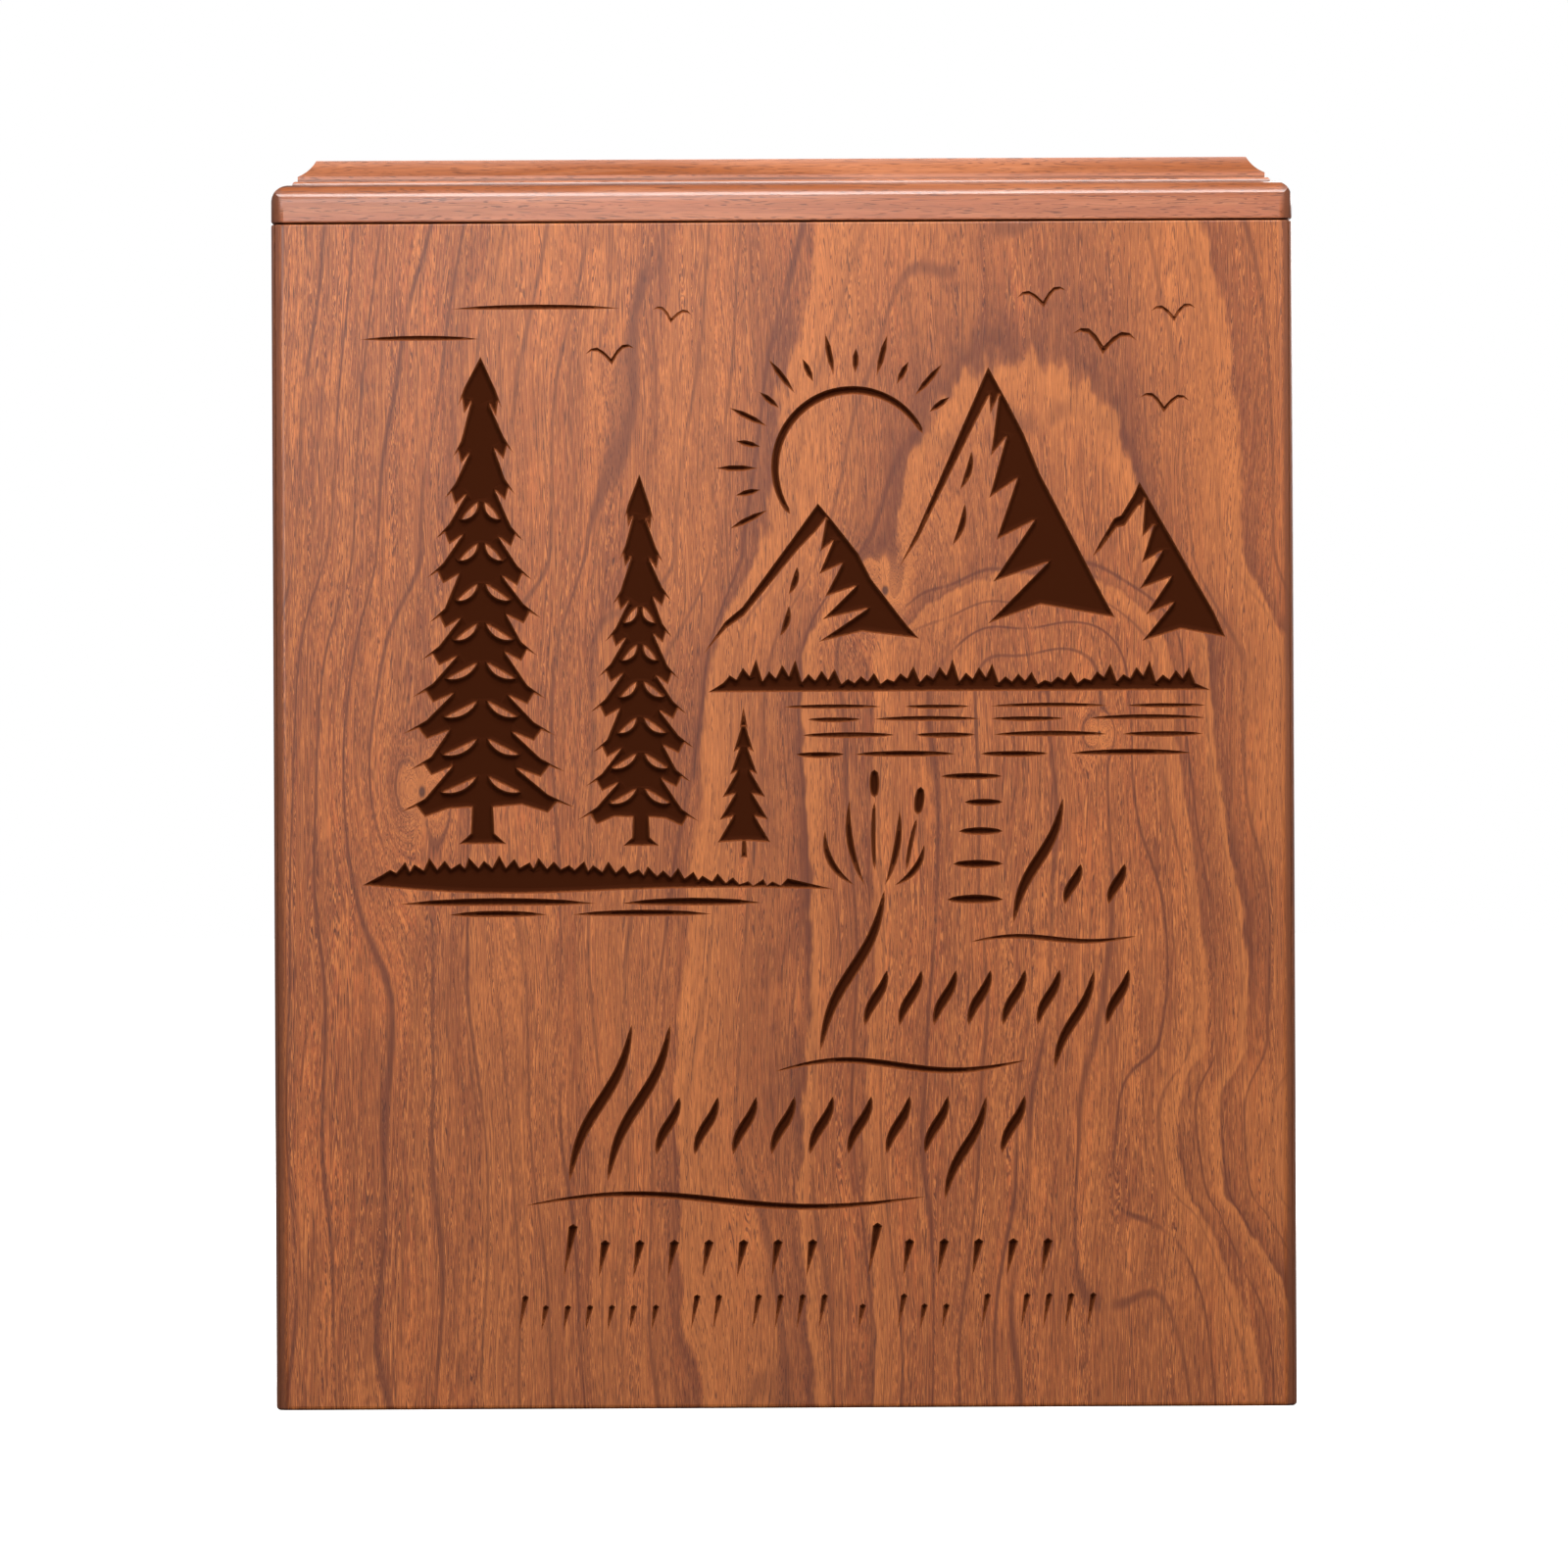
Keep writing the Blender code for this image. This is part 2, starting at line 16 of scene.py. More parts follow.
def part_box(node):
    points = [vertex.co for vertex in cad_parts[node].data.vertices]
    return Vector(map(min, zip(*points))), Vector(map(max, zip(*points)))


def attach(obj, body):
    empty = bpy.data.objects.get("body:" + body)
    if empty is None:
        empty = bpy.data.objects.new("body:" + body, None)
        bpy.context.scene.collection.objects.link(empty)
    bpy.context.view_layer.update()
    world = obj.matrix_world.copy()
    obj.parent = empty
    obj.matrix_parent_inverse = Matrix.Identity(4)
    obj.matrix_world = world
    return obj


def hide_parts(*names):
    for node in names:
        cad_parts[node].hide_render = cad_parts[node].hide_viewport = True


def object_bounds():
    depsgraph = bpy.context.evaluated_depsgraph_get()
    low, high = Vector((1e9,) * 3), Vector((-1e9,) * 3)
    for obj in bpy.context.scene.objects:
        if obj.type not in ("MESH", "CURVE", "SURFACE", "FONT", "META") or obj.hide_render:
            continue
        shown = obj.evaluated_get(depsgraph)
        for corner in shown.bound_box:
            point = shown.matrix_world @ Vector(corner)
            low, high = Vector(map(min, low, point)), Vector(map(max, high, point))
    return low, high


bl_info = {
    "name": "Engraved Wooden Urn",
    "version": (1, 0, 0),
    "blender": (4, 5, 0),
    "location": "3D View > Sidebar > Urn",
    "description": "Veneered boards, moulded lid and engraved front of a wooden urn box, with its studio",
    "category": "Object",
}

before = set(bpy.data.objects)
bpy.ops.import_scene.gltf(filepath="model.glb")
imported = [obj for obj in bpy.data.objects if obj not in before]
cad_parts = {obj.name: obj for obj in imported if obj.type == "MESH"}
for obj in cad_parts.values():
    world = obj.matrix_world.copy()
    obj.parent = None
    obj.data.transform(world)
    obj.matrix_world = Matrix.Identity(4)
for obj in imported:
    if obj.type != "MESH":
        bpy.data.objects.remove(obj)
BOX_LOW, BOX_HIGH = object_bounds()
FRONT_LOW, FRONT_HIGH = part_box("front_board")
BOTTOM_LOW, BOTTOM_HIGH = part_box("bottom_board")
LID_LOW, LID_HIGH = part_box("lid")
BODY = "root"
MM = 1000.0

# The drawing's grid, in squares over the front board from the middle of its foot
SQUARES_ACROSS = 203.2
SQUARES_UP = 236.0

# How finely round shapes are cut into flats
CORNER_STEPS = 8
MOULDING_STEPS = 12
STROKE_STEPS = 10

# How far a cutter reaches past the wood, and how close two lengths are when they are the same
CUTTER_REACH = 0.002
TINY = 1e-6

# Multiples of this share, without their whole part, spread evenly and never repeat
GOLDEN_SHARE = 0.6180339887


def length_property(name, description, default):
    """A size in metres for the sidebar."""
    return bpy.props.FloatProperty(name=name, description=description, default=default, min=0.0,
                                   unit="LENGTH", precision=5)


def colour_property(name, description, default):
    """A colour as an sRGB hex value."""
    return bpy.props.StringProperty(name=name, description=description, default=default)


class UrnSizes(bpy.types.PropertyGroup):
    """Sizes of the urn box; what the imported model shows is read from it."""

    width: length_property("Width", "Left to right over the boards", BOX_HIGH.x - BOX_LOW.x)
    depth: length_property("Depth", "Front to back over the boards", BOX_HIGH.y - BOX_LOW.y)
    body_height: length_property("Body height", "Height of the four boards", FRONT_HIGH.z - FRONT_LOW.z)
    wall: length_property("Wall", "Thickness of the four boards", FRONT_HIGH.y - FRONT_LOW.y)
    bottom: length_property("Bottom", "Thickness of the bottom board", BOTTOM_HIGH.z - BOTTOM_LOW.z)
    bottom_inset: length_property("Bottom inset", "From a side to the bottom board", BOTTOM_LOW.x - BOX_LOW.x)
    joint_gap: length_property("Joint gap", "Opening between neighbouring pieces", 0.0003)
    corner_radius: length_property("Corner radius", "Rounding of the upright corners", 0.0025)
    base_ease: length_property("Base ease", "Rounding of the lower edge", 0.0008)
    seam_ease: length_property("Seam ease", "Rounding of the edges at the lid's seam", 0.00035)
    tongue_clearance: length_property("Tongue clearance", "Room round the lid's tongue", 0.0006)
    face_band: length_property("Face band", "Plain edge of the lid", 0.0040)
    ovolo: length_property("Ovolo", "Radius of the lid's large round", 0.0036)
    shelf: length_property("Shelf", "Flat between the large round and the bead", 0.0005)
    bead: length_property("Bead", "Radius of the small round", 0.0008)
    quirk: length_property("Quirk", "Step behind the bead", 0.0003)
    fillet: length_property("Fillet", "Upright flat under the hollow", 0.0010)
    cove_run: length_property("Cove run", "Depth of the hollow, inwards", 0.0036)
    cove_rise: length_property("Cove rise", "Height of the hollow", 0.0033)
    cove_sag: length_property("Cove sag", "How far the hollow falls in", 0.0004)
    engraving_depth: length_property("Engraving depth", "Depth of the cut floor", 0.0010)
    engraving_slope: length_property("Engraving slope", "Width of a cut's wall, seen from the front", 0.0011)


class UrnColours(bpy.types.PropertyGroup):
    """Colours of the finishes."""

    heart: colour_property("Heartwood", "Main orange-brown of the veneer", "#BB602B")
    pale: colour_property("Pale streak", "Lighter streaks between the bands", "#CD783A")
    band: colour_property("Band", "Grey-brown bands along the grain", "#86401C")
    ring: colour_property("Growth ring", "Dark edge of a growth ring", "#682E13")
    pore: colour_property("Pore", "Open pores with stain in them", "#4A2010")
    lid: colour_property("Lid", "Main colour of the lid", "#A96140")
    lid_pale: colour_property("Lid streak", "Lighter streaks of the lid", "#BF7A54")
    lid_band: colour_property("Lid band", "Darker streaks of the lid", "#8C4E30")
    # On the upper ovolo this tone is painted shade over the opened wood, where the round turns up
    cut: colour_property("Moulding", "Wood laid open by the moulding cutter", "#89471D")
    # Painted shade: a darker brown for the rounded upright corners, where they turn away from the light
    corner: colour_property("Corner", "Stained rounded corners", "#70402B")
    bottom: colour_property("Bottom", "Sealed underside", "#96613F")
    scorch: colour_property("Scorch", "Brown of a cut's wall near its edge", "#7A4022")
    char: colour_property("Char", "Dark brown of a cut's floor", "#381606")
    floor: colour_property("Floor", "Studio floor", "#F6F5F3")
    floor_bounce: colour_property("Floor bounce", "What the floor throws back on the box", "#4C4B49")


class UrnStudio(bpy.types.PropertyGroup):
    """The camera's view."""

    frame_width: length_property("Frame width", "Width of the view at the front board", 0.312)
    eye_height: length_property("Eye height", "Height of the camera over the floor", 0.1242)
    eye_distance: length_property("Eye distance", "From the front board to the camera", 2.6)
    roll: bpy.props.FloatProperty(name="Roll", description="Tilt of the camera about its line of sight",
                                  default=math.radians(0.27), subtype="ANGLE")


def linear(hex_value):
    """Linear RGBA of an sRGB hex value."""
    channels = [int(hex_value[i:i + 2], 16) / 255 for i in (1, 3, 5)]
    return [c / 12.92 if c <= 0.04045 else ((c + 0.055) / 1.055) ** 2.4 for c in channels] + [1.0]


def add(tree, kind, inputs=None, **settings):
    """Add a shader node with its settings; an input is a value, a node (its first output) or a socket."""
    node = tree.nodes.new("ShaderNode" + kind)
    for name, value in settings.items():
        setattr(node, name, value)
    for key, value in (inputs or {}).items():
        if isinstance(value, bpy.types.Node):
            value = value.outputs[0]
        if isinstance(value, bpy.types.NodeSocket):
            tree.links.new(value, node.inputs[key])
        else:
            node.inputs[key].default_value = value
    return node


def new_material(name):
    """An empty material with a Principled shader: its tree and its shader."""
    material = bpy.data.materials.new(name)
    material.use_nodes = True
    return material, material.node_tree, material.node_tree.nodes["Principled BSDF"]


def arc(centre, radius, start, end, steps):
    """Points along a circle's arc, with its ends in degrees."""
    angles = [math.radians(start + (end - start) * i / steps) for i in range(steps + 1)]
    return [(centre[0] + radius * math.cos(a), centre[1] + radius * math.sin(a)) for a in angles]


def prism(name, outline, height):
    """A straight prism on a flat outline, centred on z = 0."""
    shell = bmesh.new()
    base = shell.faces.new([shell.verts.new((x, y, -height / 2)) for x, y in outline])
    top = bmesh.ops.extrude_face_region(shell, geom=[base])
    lifted = [item for item in top["geom"] if isinstance(item, bmesh.types.BMVert)]
    bmesh.ops.translate(shell, verts=lifted, vec=(0.0, 0.0, height))
    bmesh.ops.recalc_face_normals(shell, faces=shell.faces)
    return as_object(name, shell)


def block(name, size, centre):
    """A box by its size and centre."""
    shell = bmesh.new()
    bmesh.ops.create_cube(shell, size=1.0)
    bmesh.ops.scale(shell, vec=size, verts=shell.verts)
    piece = as_object(name, shell)
    piece.location = centre
    return piece


def as_object(name, shell):
    """Put a bmesh into a new object of the scene."""
    mesh = bpy.data.meshes.new(name)
    shell.to_mesh(mesh)
    shell.free()
    piece = bpy.data.objects.new(name, mesh)
    bpy.context.scene.collection.objects.link(piece)
    return piece


def ease_edges(piece, width, wanted):
    """Round the edges that wanted(edge) names, in the mesh itself."""
    shell = bmesh.new()
    shell.from_mesh(piece.data)
    edges = [edge for edge in shell.edges if wanted(edge)]
    bmesh.ops.bevel(shell, geom=edges, offset=width, segments=3, profile=0.5, affect="EDGES")
    shell.to_mesh(piece.data)
    shell.free()


def settle(piece, changes=()):
    """Apply Boolean changes, given as (operation, tool), and put the piece's place into its mesh."""
    for operation, tool in changes:
        modifier = piece.modifiers.new(operation, "BOOLEAN")
        modifier.operation = operation
        modifier.solver = "EXACT"
        modifier.object = tool
    depsgraph = bpy.context.evaluated_depsgraph_get()
    mesh = bpy.data.meshes.new_from_object(piece.evaluated_get(depsgraph))
    mesh.transform(piece.matrix_world)
    piece.modifiers.clear()
    piece.data = mesh
    piece.matrix_world.identity()
    return piece


def discard(*pieces):
    """Remove helper objects."""
    for piece in pieces:
        bpy.data.objects.remove(piece, do_unlink=True)


def shade(piece):
    """Shade smooth, with sharp edges where faces turn hard or where a flat meets a round."""
    hard, flat = math.radians(28.0), 0.99999
    shell = bmesh.new()
    shell.from_mesh(piece.data)
    for face in shell.faces:
        face.smooth = True
    for edge in shell.edges:
        if len(edge.link_faces) != 2:
            continue
        angle = edge.calc_face_angle(0.0)
        flats = [max(abs(c) for c in face.normal) > flat for face in edge.link_faces]
        edge.smooth = angle < hard and flats[0] == flats[1]
    shell.to_mesh(piece.data)
    shell.free()


def hand_in(piece, node, slot, *materials):
    """Dress a piece, hide the CAD node that it takes the place of, and let it ride on the box."""
    piece.data.materials.clear()
    for material in materials:
        piece.data.materials.append(material)
    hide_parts(node)
    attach(piece, BODY)


def board_outline(sizes, length):
    """Plan of a mitred board: its outer face lies on y = 0 and its outer corners are rounded."""
    radius, setback = sizes.corner_radius, sizes.joint_gap / 2
    half = length / 2
    sweep = 45.0 - math.degrees(math.asin(setback / radius))
    inner = (half - sizes.wall - setback * math.sqrt(2), sizes.wall)
    right = arc((half - radius, radius), radius, -90.0, -90.0 + sweep, CORNER_STEPS) + [inner]
    return [(-x, y) for x, y in reversed(right)] + right


def make_board(sizes, name, length, distance, turn):
    """A wall board with eased outer edges and the rebate for the bottom board."""
    height = sizes.body_height
    board = prism(name, board_outline(sizes, length), height)

    def outer_edge(edge, level):
        if any(abs(v.co.z - level) > TINY for v in edge.verts):
            return False
        return any(face.normal.y < -0.5 for face in edge.link_faces)

    ease_edges(board, sizes.base_ease, lambda edge: outer_edge(edge, -height / 2))
    ease_edges(board, sizes.seam_ease, lambda edge: outer_edge(edge, height / 2))
    angle = math.radians(turn)
    board.location = (distance * math.sin(angle), -distance * math.cos(angle), height / 2)
    board.rotation_euler = (0.0, 0.0, angle)
    inset = sizes.bottom_inset - sizes.joint_gap
    size = (sizes.width - 2 * inset, sizes.depth - 2 * inset, 2 * (sizes.bottom + sizes.joint_gap))
    recess = block("recess", size, (0.0, 0.0, 0.0))
    bpy.context.view_layer.update()
    settle(board, [("DIFFERENCE", recess)])
    discard(recess)
    return board


def lid_outline(sizes):
    """Plan of the lid: a rectangle with rounded corners, flush with the walls."""
    radius = sizes.corner_radius
    x, y = sizes.width / 2 - radius, sizes.depth / 2 - radius
    corners = (((x, y), 0.0), ((-x, y), 90.0), ((-x, -y), 180.0), ((x, -y), 270.0))
    outline = []
    for centre, start in corners:
        outline += arc(centre, radius, start, start + 90.0, 2 * CORNER_STEPS)
    return outline


def moulding_waste(sizes, rise):
    """The wood that the moulding takes off an edge: inset across, height above the lid's lower face up."""
    shelf = sizes.face_band + sizes.ovolo
    fillet = shelf + sizes.bead
    cove = fillet + sizes.fillet
    ovolo = arc((sizes.ovolo, sizes.face_band), sizes.ovolo, 180.0, 90.0, MOULDING_STEPS)
    bead_centre = sizes.ovolo + sizes.shelf + sizes.bead
    bead = arc((bead_centre, shelf), sizes.bead, 180.0, 90.0, MOULDING_STEPS // 2)
    quirk = bead_centre + sizes.quirk
    chord = math.hypot(sizes.cove_run, sizes.cove_rise)
    hollow = []
    for i in range(MOULDING_STEPS + 1):
        t = i / MOULDING_STEPS
        sag = sizes.cove_sag * 4 * t * (1 - t) / chord
        hollow.append((quirk + sizes.cove_run * t + sizes.cove_rise * sag,
                       cove + sizes.cove_rise * t - sizes.cove_run * sag))
    top = rise + CUTTER_REACH
    outside = [(hollow[-1][0], top), (-CUTTER_REACH, top), (-CUTTER_REACH, sizes.face_band)]
    return ovolo + bead + [(quirk, fillet)] + hollow + outside


def make_lid(sizes):
    """The lid: one board with a moulded edge on all four sides and a tongue below."""
    foot = sizes.body_height + sizes.joint_gap
    rise = LID_HIGH.z - foot
    lid = prism("lid_board", lid_outline(sizes), rise)

    def lower_edge(edge):
        low = all(v.co.z < 0 for v in edge.verts)
        return low and any(abs(face.normal.z) < 0.5 for face in edge.link_faces)

    ease_edges(lid, sizes.seam_ease, lower_edge)
    lid.location = (0.0, 0.0, foot + rise / 2)
    inset = sizes.wall + sizes.tongue_clearance
    root = sizes.face_band / 2
    size = (sizes.width - 2 * inset, sizes.depth - 2 * inset, foot + root - LID_LOW.z)
    tongue = block("tongue", size, (0.0, 0.0, (foot + root + LID_LOW.z) / 2))
    changes = [("UNION", tongue)]
    for side in range(4):
        across, away = (sizes.width, sizes.depth) if side % 2 == 0 else (sizes.depth, sizes.width)
        cutter = prism(f"cutter_{side}", moulding_waste(sizes, rise), across + 2 * CUTTER_REACH)
        angle = math.radians(90.0 * side)
        cutter.location = (away / 2 * math.sin(angle), -away / 2 * math.cos(angle), foot)
        cutter.rotation_euler = (math.radians(90.0), 0.0, math.radians(90.0) + angle)
        changes.append(("DIFFERENCE", cutter))
    bpy.context.view_layer.update()
    settle(lid, changes)
    discard(*(tool for _, tool in changes))
    return lid


def scatter(index, low, high):
    """An irregular value between low and high, always the same for the same index."""
    return low + (high - low) * (index * GOLDEN_SHARE % 1.0)


def between(a, b, share):
    """The value that lies a share of the way from a to b."""
    return a + (b - a) * share


def bowed(start, end, bow=0.0, steps=STROKE_STEPS):
    """Points from start to end on a line that bends sideways by bow times its length."""
    (x0, y0), (x1, y1) = start, end
    points = []
    for i in range(steps + 1):
        t = i / steps
        side = bow * 4 * t * (1 - t)
        points.append((between(x0, x1, t) - (y1 - y0) * side, between(y0, y1, t) + (x1 - x0) * side))
    return points


def waved(start, end, lift, fade=0.0, steps=4 * STROKE_STEPS):
    """Points from start to end along one full wave, lift high at first and lower by fade at the end."""
    (x0, y0), (x1, y1) = start, end
    run = math.hypot(x1 - x0, y1 - y0)
    points = []
    for i in range(steps + 1):
        t = i / steps
        side = lift * math.sin(2 * math.pi * t) * (1 - fade * t) / run
        points.append((between(x0, x1, t) - (y1 - y0) * side, between(y0, y1, t) + (x1 - x0) * side))
    return points


def stroke(path, width, swell=0.8):
    """Outline of a cut along a path, widest in the middle and drawn out to a point at both ends."""
    left, right = [], []
    last = len(path) - 1
    for i, (x, y) in enumerate(path):
        (x0, y0), (x1, y1) = path[max(i - 1, 0)], path[min(i + 1, last)]
        run = math.hypot(x1 - x0, y1 - y0)
        half = width / 2 * math.sin(math.pi * i / last) ** swell
        nx, ny = (y0 - y1) / run * half, (x1 - x0) / run * half
        left.append((x + nx, y + ny))
        right.append((x - nx, y - ny))
    return left + right[-2:0:-1]


def slope(start, end, breaks, rough, seed):
    """Points of a rocky slope from start to end, with irregular breaks."""
    points = []
    for i in range(breaks + 1):
        inside = 0.0 if i in (0, breaks) else 1.0
        t = (i + inside * scatter(seed + 3 * i, -0.35, 0.35)) / breaks
        jag = inside * rough * scatter(seed + 5 * i, -1.0, 1.0)
        points.append((between(start[0], end[0], t), between(start[1], end[1], t) + jag))
    return points


def mountain(left, peak, right, seed, line, marks):
    """A peak: a bold skyline, a dark lee flank with a ragged snow line, and rock marks on the lit side."""
    rough = 0.9
    teeth = 6
    up = slope(left, peak, teeth, rough, seed)
    down = slope(peak, right, teeth + 1, rough, seed + 11)
    run, fall = right[0] - peak[0], peak[1] - right[1]
    snow_line = []
    for i in range(teeth):
        t = 1 - (i + 0.2) / teeth
        edge = peak[0] + run * t
        spur = edge - run * t * scatter(seed + i, 0.88, 1.02)
        notch = between(edge, spur, scatter(seed + 2 * i, 0.40, 0.58))
        snow_line.append((notch, peak[1] - fall * (t - 0.02)))
        snow_line.append((spur, peak[1] - fall * (t + 0.055)))
    snow_line.append((peak[0] + 0.2, peak[1] - 2.6 * line))
    under = []
    for i, (x, y) in enumerate(reversed(up[1:-1])):
        t = (i + 1) / (len(up) - 1)
        under.append((x + 0.55 * line * (1 - t), y - line * (1.5 - 0.9 * t)))
    outlines = [up[:-1] + down + snow_line + under]
    rise = peak[1] - left[1]
    for i in range(marks):
        t = 0.42 + 0.52 * i / marks
        x = between(peak[0], left[0], t * scatter(seed + i, 0.30, 0.46))
        y = peak[1] - rise * t
        length = rise * scatter(seed + 2 * i + 1, 0.15, 0.22)
        outlines.append(stroke(bowed((x, y), (x - 0.3 * length, y - length), 0.08), 1.3))
    return outlines


def pine(x, base, height, reach, tiers):
    """A pine: drooping boughs in tiers on a short trunk, with bare lands left between the larger boughs."""
    crown = 0.93 * height
    top = base + height
    levels = [top - crown * (k / tiers) ** 0.9 for k in range(tiers + 1)]
    widths = [reach * (0.25 + 0.75 * (k / (tiers - 1)) ** 0.85) for k in range(tiers)]
    flanks = {1: [], -1: []}
    lands = []
    for side, flank in flanks.items():
        for k in range(tiers):
            pitch = levels[k] - levels[k + 1]
            turn = 2 * k + (side > 0) + 5 * tiers
            tip = side * widths[k] * scatter(turn, 0.86, 1.06)
            low = levels[k + 1] + pitch * scatter(turn + 3, -0.08, 0.08)
            flank.append((x + 0.70 * tip, low + 0.36 * pitch))
            flank.append((x + tip, low))
            flank.append((x + 0.80 * tip, low + 0.14 * pitch))
            flank.append((x + 0.70 * tip, low - 0.14 * pitch))
            flank.append((x + 0.42 * tip, low + 0.08 * pitch))
            if 3 <= k:
                inner = side * (0.07 * widths[k - 1] + 0.25)
                outer = side * widths[k - 1] * scatter(3 * k + (side > 0), 0.42, 0.52)
                start = (x + inner, levels[k + 1] + 0.86 * pitch)
                end = (x + outer, levels[k + 1] + 0.48 * pitch)
                lands.append(stroke(bowed(start, end, -0.08 * side), 0.14 * pitch))
    trunk = 0.022 * height
    foot = [(x + trunk, levels[-1] + 0.5), (x + 1.1 * trunk, base + trunk), (x + 2.2 * trunk, base)]
    foot += [(2 * x - px, py) for px, py in reversed(foot)]
    outline = [(x, top)] + flanks[1] + foot + flanks[-1][::-1]
    return [outline] + lands


def sapling(x, base, height, reach, tiers):
    """A young pine: plain boughs that widen towards the ground."""
    right = []
    for k in range(tiers):
        share = (k + 1) / tiers
        low = base + height * (1 - 0.9 * share)
        right.append((x + reach * share * scatter(k, 0.85, 1.1), low))
        right.append((x + 0.45 * reach * share, low + 0.6))
    right[-1] = (x + 0.4, base + 0.11 * height)
    right.append((x + 0.6, base))
    return [(x, base + height)] + right + [(2 * x - px, py) for px, py in reversed(right)]


def treeline(left, right, base, low, high, pitch):
    """A far wood: a row of spires on a level shore."""
    count = round((right - left) / pitch)
    shore = base + 0.8
    outline = [(left - 3.0, base)]
    for i in range(count):
        x = between(left, right, (i + 0.5) / count)
        rise = scatter(7 * i + 2, low, high) * (0.75 + 0.25 * math.sin(0.45 * i))
        outline.append((x - 0.5 * pitch, shore + 0.42 * rise))
        outline.append((x, shore + rise))
    return outline + [(right, shore + 0.6), (right + 3.0, base)]


def sun(centre, radius, start, end, rays, line):
    """A rising sun: an open ring with long and short rays round it; start and end are in degrees."""
    outlines = [stroke(arc(centre, radius, start, end, 5 * STROKE_STEPS), line, 0.2)]
    near = radius + 2 * line
    for k in range(rays):
        angle = math.radians(between(start + 10, end - 10, k / (rays - 1)))
        far = near + (8.5 if k % 2 else 5.0)
        c, s = math.cos(angle), math.sin(angle)
        inner, outer = ((centre[0] + r * c, centre[1] + r * s) for r in (near, far))
        outlines.append(stroke(bowed(inner, outer, 0.0, 3), 0.75 * line, 0.6))
    return outlines


def bird(x, y, span, tilt):
    """A bird in flight: two raised wings that meet in a dipped body; tilt is in degrees."""
    upper, lower = [], []
    half_steps = 4
    for i in range(-half_steps, half_steps + 1):
        t = i / half_steps
        rise = 0.26 * span * math.sin(0.82 * math.pi * abs(t))
        upper.append((t * span / 2, rise))
        if abs(i) < half_steps:
            lower.append((t * span / 2, rise - span * (0.11 * (1 - abs(t)) ** 0.7 + 0.015)))
    c, s = math.cos(math.radians(tilt)), math.sin(math.radians(tilt))
    return [(x + c * px - s * py, y + s * px + c * py) for px, py in upper + lower[::-1]]


def bank(left, right, base, height, blades):
    """The near bank: turf with grass along its top that runs out to a point, and shade lines below."""
    pitch = (right - left) / blades
    turf = [(left - 4.0, base + 0.4)]
    for i in range(blades):
        t = i / blades
        x = between(left, right, t)
        y = base + height * math.sin(math.pi * min(1.0, 0.12 + t)) ** 0.6 * (1 - t) ** 0.5
        blade = scatter(i, 1.0, 3.0) * (1 - 0.5 * t)
        turf.append((x, y))
        turf.append((x + 0.45 * pitch + scatter(2 * i + 1, -0.5, 0.8), y + blade))
    turf.append((right + 8.0, base - 0.8))
    under_steps = 12
    for i in range(1, under_steps):
        t = 1 - i / under_steps
        turf.append((between(left, right, t), base - 1.2 * math.sin(math.pi * t) - 0.5 * math.sin(7 * t)))
    outlines = [turf]
    for row, spans in enumerate((((0.04, 0.52), (0.58, 0.92)), ((0.16, 0.40), (0.46, 0.80)))):
        y = base - 3.4 - 2.2 * row
        for low, high in spans:
            start, end = (between(left, right, low), y), (between(left, right, high), y)
            outlines.append(stroke(bowed(start, end, 0.01, 6), 1.6 - 0.3 * row, 0.5))
    return outlines


def reeds(x, base):
    """A tuft of reeds: four blades that spread from the foot, and two stems with seed heads."""
    outlines = []
    for dx, length, bow in ((-5.8, 11.0, 0.16), (-2.9, 17.0, 0.08), (2.9, 15.0, -0.06), (5.8, 8.0, -0.14)):
        outlines.append(stroke(bowed((x + 0.7 * dx, base), (x + 1.7 * dx, base + length), bow), 1.4))
    for dx, length in ((0.0, 23.0), (8.4, 19.5)):
        top = base + length
        outlines.append(stroke(bowed((x + 0.75 * dx, base + 3.0), (x + dx, top - 6.4), 0.02), 0.9, 0.3))
        outlines.append(stroke(bowed((x + 1.02 * dx, top - 5.6), (x + 1.1 * dx, top)), 2.0, 0.35))
    return outlines


def ripples(near, far, rows, far_span, near_span, shore):
    """The water: rows of level strokes, bolder towards the viewer; far_span is its width above shore."""
    outlines = []
    count = 0
    for row in range(rows):
        t = row / (rows - 1)
        y = between(far, near, 0.45 * t + 0.55 * t * t)
        left, right = far_span if y > shore else near_span
        x = left + scatter(11 * row, 0.0, 6.0)
        while x < right - 6.0:
            count += 1
            length = min(scatter(count, 9.0, 26.0), right - x)
            path = bowed((x, y), (x + length, y), scatter(count, -0.012, 0.012))
            outlines.append(stroke(path, 0.9 + 0.9 * t, 0.5))
            x += length + scatter(3 * count, 1.8, 5.0)
    return outlines


